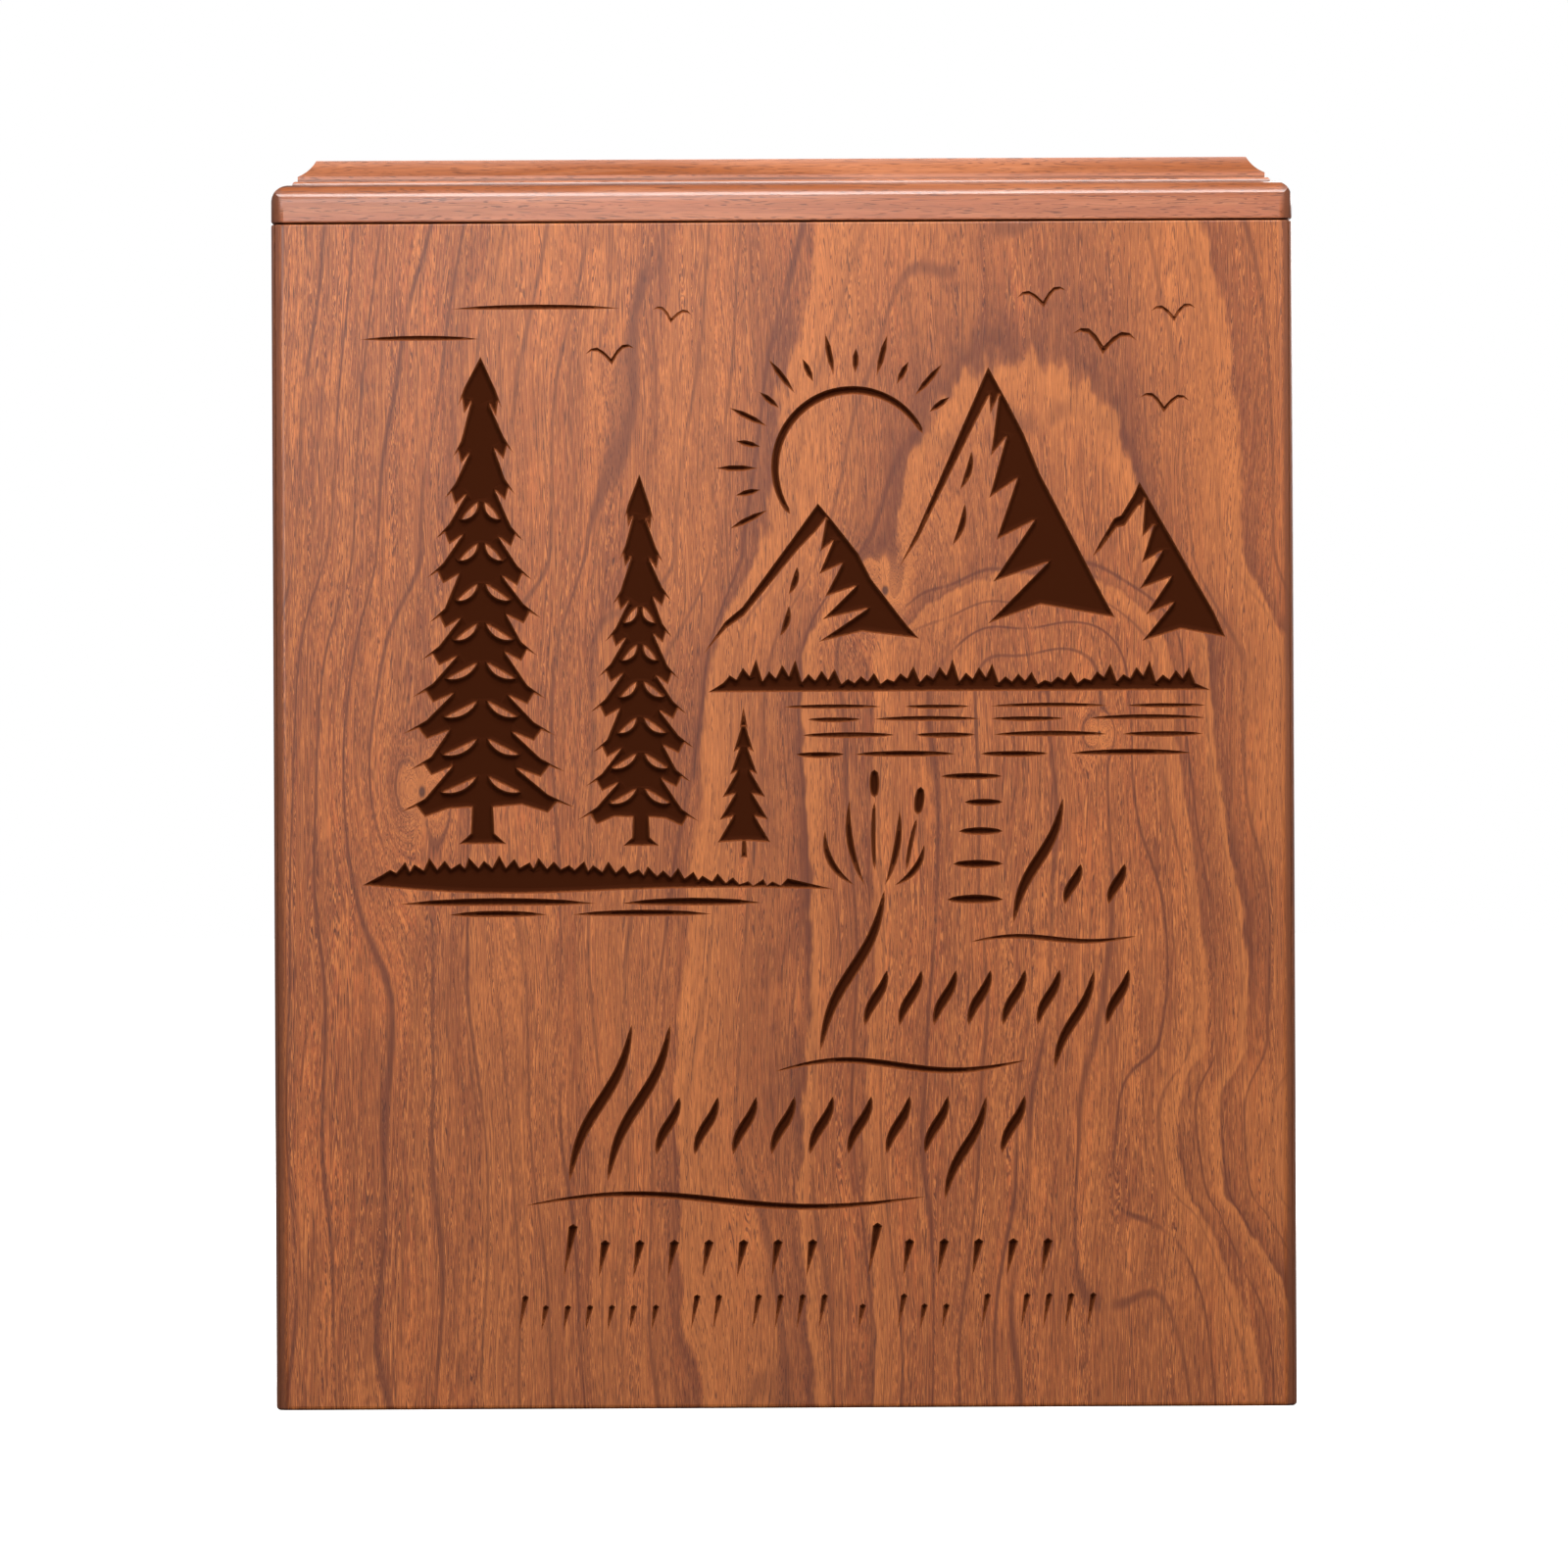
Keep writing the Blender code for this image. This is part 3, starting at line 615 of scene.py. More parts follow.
def lake_scene():
    """Outlines of the picture on the upper part of the front."""
    outlines = []
    outlines += mountain((-16, 150), (7, 180), (27, 153), 3, 1.9, 2)
    outlines += mountain((23, 167), (41, 207), (66, 157), 8, 2.2, 2)
    outlines += mountain((61.5, 169), (71, 184), (88, 153), 14, 1.8, 0)
    outlines.append(treeline(-12, 82, 142.5, 2.5, 6.5, 2.6))
    outlines += sun((14, 187), 15.5, 26, 216, 14, 1.7)
    outlines += pine(-60, 112.5, 97, 17.6, 11)
    outlines += pine(-28.5, 112, 74, 12.6, 9)
    outlines.append(sapling(-8, 109.6, 30, 6.0, 6))
    outlines += bank(-80, 2, 104, 4.6, 30)
    outlines += reeds(18, 104)
    outlines += ripples(101, 139.5, 9, (0, 84), (30, 43.5), 127.5)
    for x, y, span, tilt in ((52, 220, 10, 8), (64, 211, 13, -6), (78, 217, 9, 4), (76, 199, 10, -4),
                             (-34, 209, 10, 6), (-22, 217, 8, -8)):
        outlines.append(bird(x, y, span, tilt))
    for x, y, length in ((-66, 219, 34), (-84, 213, 24)):
        outlines.append(stroke(bowed((x, y), (x + length, y), 0.01, 6), 1.0, 0.5))
    return outlines


def slanted_row(start, end, base, tall, short, marks):
    """A row of slanted, slightly waved strokes: T is a tall one, d drops below the row, and s is short."""
    lean = math.tan(math.radians(22.0))
    outlines = []
    for i, mark in enumerate(marks):
        x = between(start, end, i / (len(marks) - 1))
        low = {"T": -0.45, "d": -0.8, "s": 0.0}[mark] * short
        high = tall if mark == "T" else short
        ends = (x + low * lean, base + low), (x + high * lean, base + high)
        width, steps = (2.3, 2 * STROKE_STEPS) if mark == "T" else (2.1, STROKE_STEPS + 2)
        outlines.append(stroke(waved(*ends, 0.035 * (high - low), 0.0, steps), width, 0.6))
    return outlines


def wedge_row(start, end, base, groups, tall, short, width):
    """A row of wedge-shaped ticks in groups: T is a tall one and s a short one."""
    group_gap = 0.8
    steps = sum(len(group) for group in groups) - 1 + group_gap * (len(groups) - 1)
    pitch = (end - start) / steps
    outlines = []
    x = start
    for group in groups:
        for mark in group:
            high = tall if mark == "T" else short
            lean = 0.16 * high
            top = base + high
            outlines.append([(x - width / 2 + lean, top), (x + lean, top + 0.35 * width),
                             (x + width / 2 + lean, top), (x - 0.2 * lean, base)])
            x += pitch
        x += group_gap * pitch
    return outlines


def stroke_rows():
    """Outlines of the rows of strokes on the lower part of the front."""
    outlines = []
    outlines += slanted_row(47, 64.5, 100, 21, 8, "Tss")
    outlines.append(stroke(waved((37, 92.6), (70, 93.6), 0.9, 0.3), 1.1, 0.6))
    outlines += slanted_row(9, 64, 76, 27, 11, "Tssssssds")
    outlines.append(stroke(waved((-2, 67), (48, 69), 1.8, 0.3), 1.4, 0.6))
    outlines += slanted_row(-41, 43, 50.5, 26, 11.5, "TTssssssssds")
    outlines.append(stroke(waved((-52, 40.5), (28, 42), 2.0, 0.3), 1.4, 0.6))
    outlines += wedge_row(-44, 51, 26, ("Tsssssss", "Tsssss"), 10.2, 7.0, 1.9)
    outlines += wedge_row(-53, 60, 15.5, ("Tssssss", "TT", "TTTT", "s", "Tss", "T", "TTTT"), 6.8, 4.8, 1.3)
    return outlines


# How far in from a cut's edge points are set on its wall, as shares of the wall's width
WALL_SHARES = (0.12, 0.30, 0.52, 0.76, 1.0)

# Spacing of points along a cut's edge, and of those inside it, in millimetres
RIM_STEP = 0.6
SMALLEST_CELL = 0.12

# A point stays if it is nearly as far from every edge as from its own
NEARLY = 0.97

# A mitre grows as its corner gets sharper, from 2 for a straight edge down to this
SHARPEST = 0.6


def inside(points, outlines):
    """Which points lie in an odd number of the closed outlines."""
    x, y = points[:, 0], points[:, 1]
    found = np.zeros(len(points), bool)
    for outline in outlines:
        x0, y0 = outline[-1]
        for x1, y1 in outline:
            if y0 != y1:
                found ^= ((y0 > y) != (y1 > y)) & (x < (x1 - x0) * (y - y0) / (y1 - y0) + x0)
            x0, y0 = x1, y1
    return found


def distance_to(points, outlines):
    """Distance of each point from the nearest outline."""
    nearest = np.full(len(points), np.inf)
    for outline in outlines:
        starts = np.array(outline)
        runs = np.roll(starts, -1, axis=0) - starts
        offsets = points[:, None, :] - starts[None]
        shares = np.clip((offsets * runs).sum(axis=2) / (runs ** 2).sum(axis=1), 0.0, 1.0)
        gaps = offsets - shares[..., None] * runs
        nearest = np.minimum(nearest, np.sqrt((gaps ** 2).sum(axis=2).min(axis=1)))
    return nearest


def finer(outline, step):
    """The same outline with its long runs divided."""
    points = []
    for (x0, y0), (x1, y1) in zip(outline, outline[1:] + outline[:1]):
        count = max(1, math.ceil(math.hypot(x1 - x0, y1 - y0) / step))
        points += [(between(x0, x1, i / count), between(y0, y1, i / count)) for i in range(count)]
    return points


def groups_of(outlines):
    """The outlines in groups: one that surrounds a cut, and the lands left standing in it."""
    groups = []
    for outline in outlines:
        first = np.array(outline[:1])
        around = [group for group in groups if inside(first, group[:1])[0]]
        if around:
            around[0].append(outline)
        else:
            groups.append([outline])
    return groups


def wall_points(group, slope):
    """Points inside a cut, set in from its edges, and the distance of each from the nearest edge."""
    found, least = [], []
    for outline in group:
        rim = np.array(finer(outline, RIM_STEP))
        after = np.roll(rim, -1, axis=0) - rim
        after /= np.linalg.norm(after, axis=1)[:, None]
        before = np.roll(after, 1, axis=0)
        left = np.stack([-(before + after)[:, 1], (before + after)[:, 0]], axis=1)
        length = np.maximum(np.linalg.norm(left, axis=1), TINY)
        left /= length[:, None]
        turn = before[:, 0] * after[:, 1] - before[:, 1] * after[:, 0]
        for side in (1.0, -1.0):
            mitre = np.where(turn * side > 0, 2 / np.maximum(length, SHARPEST), 1.0)
            for share in WALL_SHARES:
                found.append(rim + left * (side * share * slope * mitre)[:, None])
                least.append(np.full(len(rim), NEARLY * share * slope))
    points, least = np.concatenate(found), np.concatenate(least)
    kept = inside(points, group)
    points, least = points[kept], least[kept]
    distance = distance_to(points, group)
    kept = distance >= least
    points, distance = points[kept], distance[kept]
    _, first = np.unique(np.round(points / SMALLEST_CELL), axis=0, return_index=True)
    return points[first], distance[first]


def drawing(sizes):
    """Outlines of all cuts, in millimetres across and up from the middle of the board's foot."""
    across, up = sizes.width * MM / SQUARES_ACROSS, sizes.body_height * MM / SQUARES_UP
    return [[(x * across, y * up) for x, y in outline] for outline in lake_scene() + stroke_rows()]


def engrave(sizes, board):
    """Cut the drawing into the board's front: sloping walls down to an even floor."""
    outlines = drawing(sizes)
    depth, slope = sizes.engraving_depth * MM, sizes.engraving_slope * MM
    shell = bmesh.new()
    shell.from_mesh(board.data)
    face = min(shell.faces, key=lambda f: f.calc_center_median().y)
    level = face.verts[0].co.y
    edge = list(face.verts)
    bmesh.ops.delete(shell, geom=[face], context="FACES_ONLY")
    points = [(v.co.x * MM, v.co.z * MM) for v in edge]
    edges = [(i, (i + 1) % len(edge)) for i in range(len(edge))]
    for outline in outlines:
        rim, first = finer(outline, RIM_STEP), len(points)
        points += rim
        edges += [(first + i, first + (i + 1) % len(rim)) for i in range(len(rim))]
    on_edge = len(points)
    depths = [0.0] * on_edge
    for group in groups_of(outlines):
        found, distance = wall_points(group, slope)
        points += [tuple(point) for point in found]
        depths += list(depth * (1 - (1 - np.minimum(1.0, distance / slope)) ** 2))
    flat, _, faces, sources = delaunay_2d_cdt([Vector(p) for p in points], edges, [], 0, TINY)[:4]
    source = [found[0] for found in sources]
    verts = []
    for place, i in zip(flat, source):
        if i < len(edge):
            verts.append(edge[i])
        else:
            verts.append(shell.verts.new((place.x / MM, level + depths[i] / MM, place.y / MM)))
    middles = np.array([sum((flat[i] for i in corners), Vector((0.0, 0.0))) / 3 for corners in faces])
    plain = [n for n, corners in enumerate(faces) if all(source[i] < on_edge for i in corners)]
    cut = np.ones(len(faces), bool)
    cut[plain] = inside(middles[plain], outlines)
    for corners, is_cut in zip(faces, cut):
        shell.faces.new([verts[i] for i in corners]).material_index = int(is_cut)
    shell.to_mesh(board.data)
    shell.free()


# All sizes of the grain are in millimetres, and a pattern's size is its width and length.

# Noise that carries the grain to and fro up a board: size, reach to each side and seed shift
SWINGS = (
    ((45.0, 170.0), 9.0, 11.0),
    ((12.0, 40.0), 2.4, 23.0),
)

# Fibres begin at uneven heights
STAGGER = (0.8, 60.0)
STAGGER_REACH = 40.0

# Real pores are about 0.15 mm wide; they are drawn twice as wide, so that they show
PORE = (0.32, 1.9)
PORE_SPAN = (0.56, 0.74)
PORE_STAIN = 0.65
PORE_DEPTH = 0.06

# Streaks narrower than this are fibres
FINE_FIBRE = 1.0

# Colours of a knot: from and to as shares of its radius, tone and strength
KNOT_TONES = ((0.9, 0.2, "pale", 0.45), (0.13, 0.05, "pore", 0.9))

# A bold ring from its sharp edge outwards: distance, share of its dark and share of its pale line
RING_FADE = ((-0.4, 0.1, 1.0), (0.4, 1.0, 0.0), (2.2, 0.55, 0.0), (8.0, 0.15, 0.3))
RING_END = 10.0
RING_PALENESS = 0.7

# A ring's edge is ragged, and the ring is fainter in patches
RAGGED = (3.0, 9.0)
RAGGED_REACH = 1.6
PATCH = (14.0, 42.0)

# A flat cut shows a year of growth this wide, and the years drift over a board
YEAR = 7.6
YEAR_DRIFT = (30.0, 200.0)
YEAR_DRIFT_REACH = 16.0

# A year's dark line: where it begins and is full on the way to the year's end at 0.5, and its strength
YEAR_LINE = (0.42, 0.49)
YEAR_LINE_STRENGTH = 0.85
WORN = (6.0, 50.0)

# What each pattern adds to a board's seed, so that no two of them match
LAYER_SEED_STEP = 5.3
PATCH_SEED = 31.0
PORE_SEED = 41.0
GLOSS_SEED = 53.0
STAGGER_SEED = 61.0
RAGGED_SEED = 71.0
YEAR_SEED = 83.0
WORN_SEED = 91.0


def object_millimetres(tree):
    """The object's own coordinates, in millimetres."""
    coordinates = add(tree, "TexCoord")
    return add(tree, "VectorMath", {0: coordinates.outputs["Object"], "Scale": MM}, operation="SCALE")


def streaks(tree, place, size, seed, span=(0.0, 1.0), reach=(0.0, 1.0), detail=1.0, solid=False,
            curve="LINEAR"):
    """Noise drawn out along the grain; what it does within its span is spread over its reach.

    Size is the width and length of the streaks in millimetres. In solid wood they also end inwards.
    """
    width, length = size
    stretch = (1 / width, 1 / length, 1 / width)
    # Unlike multiples of the seed keep two patterns apart on every axis
    shift = (seed, 3.7 * seed, -1.9 * seed)
    moved = add(tree, "VectorMath", {0: place, 1: stretch, 2: shift}, operation="MULTIPLY_ADD")
    noise = add(tree, "TexNoise", {"Vector": moved, "Scale": 1.0, "Detail": detail, "Roughness": 0.55},
                noise_dimensions="3D" if solid else "2D")
    (low, high), (least, most) = span, reach
    return add(tree, "MapRange",
               {"Value": noise, "From Min": low, "From Max": high, "To Min": least, "To Max": most},
               interpolation_type=curve)


def lay_over(tree, under, over, *shares):
    """Lay one colour over another by the product of the shares."""
    share = shares[0]
    for other in shares[1:]:
        share = add(tree, "Math", {0: share, 1: other}, operation="MULTIPLY")
    return add(tree, "Mix", {"Factor": share, 6: under, 7: over}, data_type="RGBA").outputs[2]


def colours_by_value(tree, value, stops):
    """A colour for each value between stops, which are (value, RGBA) in rising order."""
    first, last = stops[0][0], stops[-1][0]
    share = add(tree, "MapRange", {"Value": value, "From Min": first, "From Max": last})
    ramp = add(tree, "ValToRGB", {0: share})
    elements = ramp.color_ramp.elements
    for level, _ in stops[1:-1]:
        elements.new((level - first) / (last - first))
    for element, (_, colour) in zip(elements, stops):
        element.color = colour
    return ramp


def bend_round_knot(tree, place, across, knot):
    """Push the grain aside round a knot: the new place across, and the distance from the knot's middle."""
    knot_across, knot_along, radius, stretch = knot
    softening = 0.35 * radius
    away = add(tree, "VectorMath", {0: place, 1: (knot_across, knot_along, 0.0)}, operation="SUBTRACT")
    round_away = add(tree, "VectorMath", {0: away, 1: (1.0, 1 / stretch, 0.0)}, operation="MULTIPLY")
    square = add(tree, "VectorMath", {0: round_away, 1: round_away}, operation="DOT_PRODUCT").outputs["Value"]
    softened = add(tree, "Math", {0: square, 1: softening ** 2}, operation="ADD")
    power = add(tree, "Math", {0: radius ** 2, 1: softened}, operation="DIVIDE")
    sideways = add(tree, "SeparateXYZ", {0: round_away})
    bulge = add(tree, "Math", {0: sideways.outputs["X"], 1: power}, operation="MULTIPLY")
    bent = add(tree, "Math", {0: across, 1: bulge}, operation="SUBTRACT")
    return bent, add(tree, "Math", {0: square}, operation="SQRT")


def wandering_side(tree, side, along, wander):
    """Carry the far side of an arched figure outwards by wander, its offsets at heights along the board."""
    start, full = 5.0, 26.0
    last, most = wander[-1][0], max(abs(offset) for _, offset in wander)
    spots = [(level / last, 0.5 + 0.5 * offset / most) for level, offset in wander]
    height_share = add(tree, "Math", {0: along, 1: last}, operation="DIVIDE")
    curve = add(tree, "FloatCurve", {"Value": height_share})
    points = curve.mapping.curves[0].points
    points[0].location, points[1].location = spots[0], spots[-1]
    for level, offset in spots[1:-1]:
        points.new(level, offset)
    curve.mapping.update()
    offset = add(tree, "MapRange", {"Value": curve, "To Min": most, "To Max": -most})
    far = add(tree, "MapRange", {"Value": side, "From Min": start, "From Max": full},
              interpolation_type="SMOOTHSTEP")
    swing = add(tree, "Math", {0: offset, 1: far}, operation="MULTIPLY")
    return add(tree, "Math", {0: side, 1: swing}, operation="ADD")


def arch_radius(tree, across, along, arch, wander):
    """Size of the arched ring that a point lies on, in millimetres.

    The arch is (middle, foot, shoulder, rise, slant): its rings run straight up the board to its foot,
    and close over it by the rise between foot and shoulder, and by the slant above the shoulder.
    """
    middle, foot, shoulder, rise, slant = arch
    lift = add(tree, "MapRange", {"Value": along, "From Min": foot, "From Max": shoulder, "To Max": rise},
               interpolation_type="SMOOTHSTEP")
    climb = add(tree, "Math", {0: along, 1: slant, 2: -slant * shoulder}, operation="MULTIPLY_ADD")
    climb = add(tree, "Math", {0: climb, 1: 0.0}, operation="MAXIMUM")
    height = add(tree, "Math", {0: lift, 1: climb}, operation="ADD")
    side = add(tree, "Math", {0: across, 1: middle}, operation="SUBTRACT")
    if wander:
        side = wandering_side(tree, side, along, wander)
    corner = add(tree, "CombineXYZ", {"X": side, "Y": height})
    return add(tree, "VectorMath", {0: corner}, operation="LENGTH").outputs["Value"]


def growth_rings(tree, colour, colours, place, flow, radius, rings, seed):
    """Lay thin yearly lines over a colour, then its bold rings, which are (radius, darkness)."""
    drift = streaks(tree, place, YEAR_DRIFT, seed + YEAR_SEED, reach=(0.0, YEAR_DRIFT_REACH))
    years = add(tree, "Math", {0: drift, 1: radius}, operation="ADD")
    years = add(tree, "Math", {0: years, 1: YEAR}, operation="DIVIDE")
    to_end = add(tree, "Math", {0: years, 1: 0.5}, operation="PINGPONG")
    line = add(tree, "MapRange",
               {"Value": to_end, "From Min": YEAR_LINE[0], "From Max": YEAR_LINE[1],
                "To Max": YEAR_LINE_STRENGTH}, interpolation_type="SMOOTHSTEP")
    worn = streaks(tree, flow, WORN, seed + WORN_SEED, (0.15, 0.50), curve="SMOOTHSTEP")
    colour = lay_over(tree, colour, linear(colours.ring), line, worn)

    ragged = streaks(tree, place, RAGGED, seed + RAGGED_SEED, reach=(-RAGGED_REACH, RAGGED_REACH), detail=2.0)
    ragged_radius = add(tree, "Math", {0: radius, 1: ragged}, operation="ADD")
    clear = (0.0, 0.0, 0.0, 1.0)
    stops = [(0.0, clear)]
    for ring, darkness in rings:
        stops += [(ring + out, (dark * darkness, pale * darkness, 0.0, 1.0)) for out, dark, pale in RING_FADE]
    stops.append((ring + RING_END, clear))
    tones = add(tree, "SeparateColor", {0: colours_by_value(tree, ragged_radius, stops)})
    patchy = streaks(tree, place, PATCH, seed + PATCH_SEED, (0.15, 0.55), (0.0, 0.9), curve="SMOOTHSTEP")
    colour = lay_over(tree, colour, linear(colours.pale), tones.outputs["Green"], RING_PALENESS)
    return lay_over(tree, colour, linear(colours.ring), tones.outputs["Red"], patchy)


def moulding_tones_and_painted_light(tree, colour, colours, into, cuts):
    """Colour the moulding by height: opened wood, painted shade and painted highlight; cuts are (height,
    tone, strength).
    """
    stops = [(height, linear(getattr(colours, tone))[:3] + [strength]) for height, tone, strength in cuts]
    opened = colours_by_value(tree, into, stops)
    return lay_over(tree, colour, opened.outputs["Color"], opened.outputs["Alpha"])


def streaked(tree, colour, colours, layers, flow, fibres, seed, solid):
    """Lay streaks over a colour; the fine ones begin at uneven heights."""
    for number, (width, length, low, high, tone, strength) in enumerate(layers):
        guide = fibres if width < FINE_FIBRE else flow
        share = streaks(tree, guide, (width, length), seed + LAYER_SEED_STEP * number, (low, high),
                        (0.0, strength), solid=solid, curve="SMOOTHSTEP")
        colour = lay_over(tree, colour, linear(getattr(colours, tone)), share)
    return colour


def knot_colours(tree, colour, colours, distance, radius):
    """Lay a knot's pale halo and dark core over a colour."""
    for outer, inner, tone, strength in KNOT_TONES:
        share = add(tree, "MapRange",
                    {"Value": distance, "From Min": outer * radius, "From Max": inner * radius,
                     "To Max": strength}, interpolation_type="SMOOTHSTEP")
        colour = lay_over(tree, colour, linear(getattr(colours, tone)), share)
    return colour


def painted_corner_shade(tree, colour, colours, split, edges):
    """Lay painted shade, a darker brown, over rounded corners, where all edges (axis, half, radius) meet."""
    full, strength = 0.55, 0.85
    bands = []
    for axis, half, radius in edges:
        size = add(tree, "Math", {0: split.outputs[axis]}, operation="ABSOLUTE")
        bands.append(add(tree, "MapRange",
                         {"Value": size, "From Min": half - radius, "From Max": half - full * radius},
                         interpolation_type="SMOOTHSTEP"))
    return lay_over(tree, colour, linear(colours.corner), *bands, strength)


def satin_lacquer(tree, shader, colour, flow, pores, coat, seed, solid):
    """Finish wood with a satin lacquer: an uneven sheen, a thin clear coat and pores that sink a little."""
    size, roughness = (0.9, 14.0), (0.40, 0.52)
    gloss = streaks(tree, flow, size, seed + GLOSS_SEED, (0.2, 0.8), roughness, detail=0.0, solid=solid)
    bump = add(tree, "Bump", {"Strength": 0.25, "Distance": PORE_DEPTH / MM, "Height": pores}, invert=True)
    tree.links.new(colour, shader.inputs["Base Color"])
    tree.links.new(gloss.outputs[0], shader.inputs["Roughness"])
    tree.links.new(bump.outputs[0], shader.inputs["Normal"])
    shader.inputs["Specular IOR Level"].default_value = 0.34
    shader.inputs["Coat Weight"].default_value = coat
    shader.inputs["Coat Roughness"].default_value = 0.2


def wood(name, axes, colours, base, layers, seed, solid=False, knots=(), arch=None, rings=(), wander=(),
         edges=(), cuts=(), coat=0.4):
    """Wood under a satin lacquer; axes name the directions across, along and into the board.

    Solid wood has its grain all through, and a veneer on its face alone. Sizes are in millimetres.
    Each layer is (width, length, low, high, tone, strength) of streaks over the base colour.
    Each knot is (across, along, radius, stretch).
    An arched figure has its arch, its bold rings (radius, darkness) and the wander (along, offset) of
    its far side.
    Each edge is (axis, half, radius) of a rounded corner that gets painted shade, a darker brown.
    Each cut is (height, tone, strength) of a tone up the moulding: opened wood, painted shade or painted
    highlight.
    """
    material, tree, shader = new_material(name)
    split = add(tree, "SeparateXYZ", {0: object_millimetres(tree)})
    across, along, into = (split.outputs[axis] for axis in axes)
    place = add(tree, "CombineXYZ", {"X": across, "Y": along, "Z": into})
    for size, reach, shift in SWINGS:
        swing = streaks(tree, place, size, seed + shift, reach=(-reach, reach), detail=0.0, solid=solid)
        across = add(tree, "Math", {0: across, 1: swing}, operation="ADD")
    distances = []
    for knot in knots:
        across, distance = bend_round_knot(tree, place, across, knot)
        distances.append(distance)
    flow = add(tree, "CombineXYZ", {"X": across, "Y": along, "Z": into})
    stagger = streaks(tree, place, STAGGER, seed + STAGGER_SEED, reach=(0.0, STAGGER_REACH), detail=0.0,
                      solid=solid)
    staggered = add(tree, "Math", {0: along, 1: stagger}, operation="ADD")
    fibres = add(tree, "CombineXYZ", {"X": across, "Y": staggered, "Z": into})

    colour = linear(getattr(colours, base))
    if cuts:
        colour = moulding_tones_and_painted_light(tree, colour, colours, into, cuts)
    colour = streaked(tree, colour, colours, layers, flow, fibres, seed, solid)
    if arch:
        radius = arch_radius(tree, across, along, arch, wander)
        colour = growth_rings(tree, colour, colours, place, flow, radius, rings, seed)
    for distance, (_, _, radius, _) in zip(distances, knots):
        colour = knot_colours(tree, colour, colours, distance, radius)
    pores = streaks(tree, fibres, PORE, seed + PORE_SEED, PORE_SPAN, detail=0.0, solid=solid,
                    curve="SMOOTHSTEP")
    colour = lay_over(tree, colour, linear(colours.pore), pores, PORE_STAIN)
    if edges:
        colour = painted_corner_shade(tree, colour, colours, split, edges)
    satin_lacquer(tree, shader, colour, flow, pores, coat, seed, solid)
    return material


# Streaks of the veneer, broad fields first, then bands, mottle and fibres: width, length, low, high,
# tone, strength
VENEER_LAYERS = (
    (26.0, 120.0, 0.42, 0.66, "pale", 0.50),
    (17.0, 80.0, 0.46, 0.68, "band", 0.50),
    (4.6, 110.0, 0.44, 0.62, "band", 0.75),
    (3.0, 110.0, 0.50, 0.68, "pale", 0.45),
    (1.5, 45.0, 0.46, 0.66, "band", 0.55),
    (6.0, 20.0, 0.46, 0.68, "band", 0.70),
    (1.3, 3.6, 0.46, 0.68, "band", 0.65),
    (0.70, 1.9, 0.42, 0.64, "pale", 0.75),
    (0.60, 1.5, 0.46, 0.66, "ring", 0.75),
)

# Streaks of solid wood, quieter than the veneer's
SOLID_LAYERS = (
    (9.0, 130.0, 0.45, 0.68, "lid_pale", 0.40),
    (4.0, 90.0, 0.50, 0.68, "lid_band", 0.40),
    (1.3, 38.0, 0.48, 0.68, "lid_pale", 0.30),
    (0.9, 26.0, 0.52, 0.70, "lid_band", 0.22),
    (0.5, 4.0, 0.46, 0.70, "lid_band", 0.22),
)


def front_veneer(sizes, colours):
    """Rosewood veneer, sanded and sprayed with satin lacquer.

    It gives the eye a soft sheen over orange-brown wood with grey-brown bands, three small knots and an
    arched figure on the right, and painted shade on its rounded upright corners.
    """
    return wood("satin_rosewood_veneer_front", "XZY", colours, "heart", VENEER_LAYERS, 3.0,
                knots=((20.3, 162.6, 7.0, 1.5), (62.8, 134.0, 4.0, 1.4), (-72.0, 123.0, 7.0, 1.8)),
                arch=(45.0, 140.0, 172.0, 34.0, 0.22),
                rings=((15, 0.1), (31, 0.65), (42, 1.0), (60, 0.8), (82, 0.3), (110, 0.3)),
                wander=((0.0, 18.0), (14.0, 16.0), (27.0, 11.0), (38.0, 4.0), (46.0, -1.0), (58.0, -1.0),
                        (74.0, 7.0), (95.0, 8.0), (120.0, 3.0), (145.0, 0.0), (249.0, 0.0)),
                # Painted shade on the rounded upright corners
                edges=(("X", sizes.width * MM / 2, sizes.corner_radius * MM),))


def wall_veneer(sizes, colours, side, axes, length, number):
    """The same veneer on another wall, where it gives the eye a plain arched figure of its own and painted
    shade on its corners.
    """
    return wood(f"satin_rosewood_veneer_{side}", axes, colours, "heart", VENEER_LAYERS, 20.0 + 13.0 * number,
                arch=(14.0 * number - 6.0, 60.0 + 30.0 * number, 130.0 + 30.0 * number, 26.0, 0.25),
                rings=((17, 0.6), (33, 0.7), (52, 0.6), (77, 0.4), (104, 0.4)),
                # Painted shade on the rounded upright corners
                edges=((axes[0], length * MM / 2, sizes.corner_radius * MM),))


def bottom_wood(colours):
    """Plain hardwood under a sealer, which gives the eye an even, duller brown."""
    return wood("sealed_hardwood", "YXZ", colours, "bottom", SOLID_LAYERS, 71.0, solid=True)


